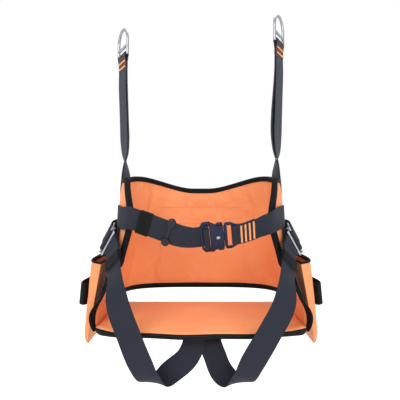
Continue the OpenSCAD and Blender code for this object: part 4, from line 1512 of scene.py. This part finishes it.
POUCH_TAPE = [
    (0, -4), (-0.7, -3.6), (-1.0, -2.4), (-0.9, -0.8), (-0.3, 0.6), (0.9, 0.9), (2.0, 0.6), (2.6, -0.8),
    (2.7, -5), (2.5, -RIM_H + 0.6), (1.8, -RIM_H), (0.9, -4),
]


def pouch_tape(side):
    count = 96

    def place(row, col):
        inset, z = POUCH_TAPE[row % len(POUCH_TAPE)]
        x, y = pouch_outline(0, max(inset, 0), count)[col % count]
        out = -min(inset, 0)
        y += math.copysign(out, y)
        x += out if x > 3 else -out * 0.2
        return hang(in_pouch(x, y, z), side)

    return rolled(WORDS[side] + "_pouch_tape", len(POUCH_TAPE), count, place, (0.36, 0.03), caps=False)


def pouch_hanger_stations():
    o = -2 * SEWN - WEB_T / 2
    y = sling_at(REAR_SLING_U, 112).y - POUCH_AT.y
    out = vec(WEB_T + 2 * SEWN + 1.2, 0, 0)
    a = [in_pouch(o, y, z) for z in (-30, -14, -8)]
    b = [sling_at(REAR_SLING_U, z) + out for z in (116, 102)]
    over = vec((a[2].x + b[0].x) / 2, y + POUCH_AT.y, POUCH_AT.z + 1)
    return [(p, ACROSS) for p in a + [over] + b]


def tool_loop_stations():
    z = TOOL_LOOP_Z
    face = mix(POUCH_T, POUCH_LOW_T, (-z - 4) / (POUCH_H - 22))
    x, l = face + WEB_T / 2 + 1.45, POUCH_L / 2
    up = POUCH_TURN @ UP + vec(0.08, 0, 0)
    points = [
        (x, 46 - l), (x, 30 - l), (x + 1.2, 22 - l), (x + 7, 16 - l), (x + 13, 20 - l), (x + 15.5, 34 - l),
        (x + 14, 0), (x + 9, l - 40), (x + 1.2, l - 31), (x, l - 26), (x, l - 14),
    ]
    return [(in_pouch(px, py, z), up) for px, py in points]


for side, word in WORDS.items():
    dress(pouch_bag(side), CLOTH, word + "_pouch")
    dress(pouch_tape(side), TAPE, word + "_pouch_rim")
    strap(word + "_pouch_hanger", sided(pouch_hanger_stations(), side), 10, w=HANGER_W)
    strap(word + "_tool_loop", sided(tool_loop_stations(), side), 10, look=TAPE)


# Floor, light and camera

FILL = 0.72
FLOOR_SIZE, FLOOR_AT, FLOOR_GLOW = 40, (0, 20, -1.05), (0.5, 0.5, 0.5, 1)
CAMERA_AT, LENS, SHIFT_X = (0, -880, 250), 36, -0.0025


def looked_at(look):
    """Whether a ray comes from the camera, a mirror or a clear surface, and not from lit cloth."""
    path = look.node("LightPath")
    rays = path.socket.node.outputs
    mirrors = path.math("MAXIMUM", Wire(look, rays["Is Glossy Ray"]))
    return mirrors.math("MAXIMUM", Wire(look, rays["Is Transmission Ray"]))


def floor():
    bm = bmesh.new()
    bmesh.ops.create_grid(bm, x_segments=2, y_segments=2, size=FLOOR_SIZE)
    bmesh.ops.translate(bm, verts=bm.verts, vec=FLOOR_AT)
    obj = finished("floor", bm)
    look = Look("floor_paper", Roughness=0.9, Emission_Strength=1.0)
    look.set("Base Color", rgb(246, 246, 246))
    look.set("Emission Color", look.blend(looked_at(look), (0, 0, 0, 1), FLOOR_GLOW))
    obj.data.materials.append(look.material)


class Sky(Look):
    """The world's shader, fed as a material's is."""

    def __init__(self, name):
        made = bpy.data.worlds.new(name)
        made.use_nodes = True
        bpy.context.scene.world = made
        self.tree = made.node_tree
        self.shader = self.tree.nodes["Background"]


def world():
    """White where it is looked at, and softer as a light."""
    sky = Sky("studio")
    sky.set("Color", (1, 1, 1, 1))
    sky.set("Strength", spread(looked_at(sky), FILL, 1.0))


def lamp(name, place, aim, size, power):
    data = bpy.data.lights.new(name, "AREA")
    data.shape = "DISK"
    data.size = size
    data.energy = power
    obj = placed(name, data)
    obj.location = place
    obj.rotation_euler = (Vector(aim) - Vector(place)).to_track_quat("-Z", "Y").to_euler()


def camera():
    data = bpy.data.cameras.new("camera")
    data.lens, data.sensor_width = LENS, LENS
    data.shift_x = SHIFT_X
    obj = placed("camera", data)
    obj.location = hang(CAMERA_AT)
    obj.rotation_euler = (math.pi / 2, 0, 0)
    bpy.context.scene.camera = obj


AIM = (0, 0, -0.5)
floor()
world()
lamp("key", (-1.0, -1.7, 0.6), AIM, 1.2, 19)
lamp("fill", (0.8, -1.7, -0.35), AIM, 1.4, 14)
lamp("top", (0.2, 0.5, 1.4), AIM, 1.4, 12)
camera()
bpy.context.scene.view_settings.view_transform = "Standard"
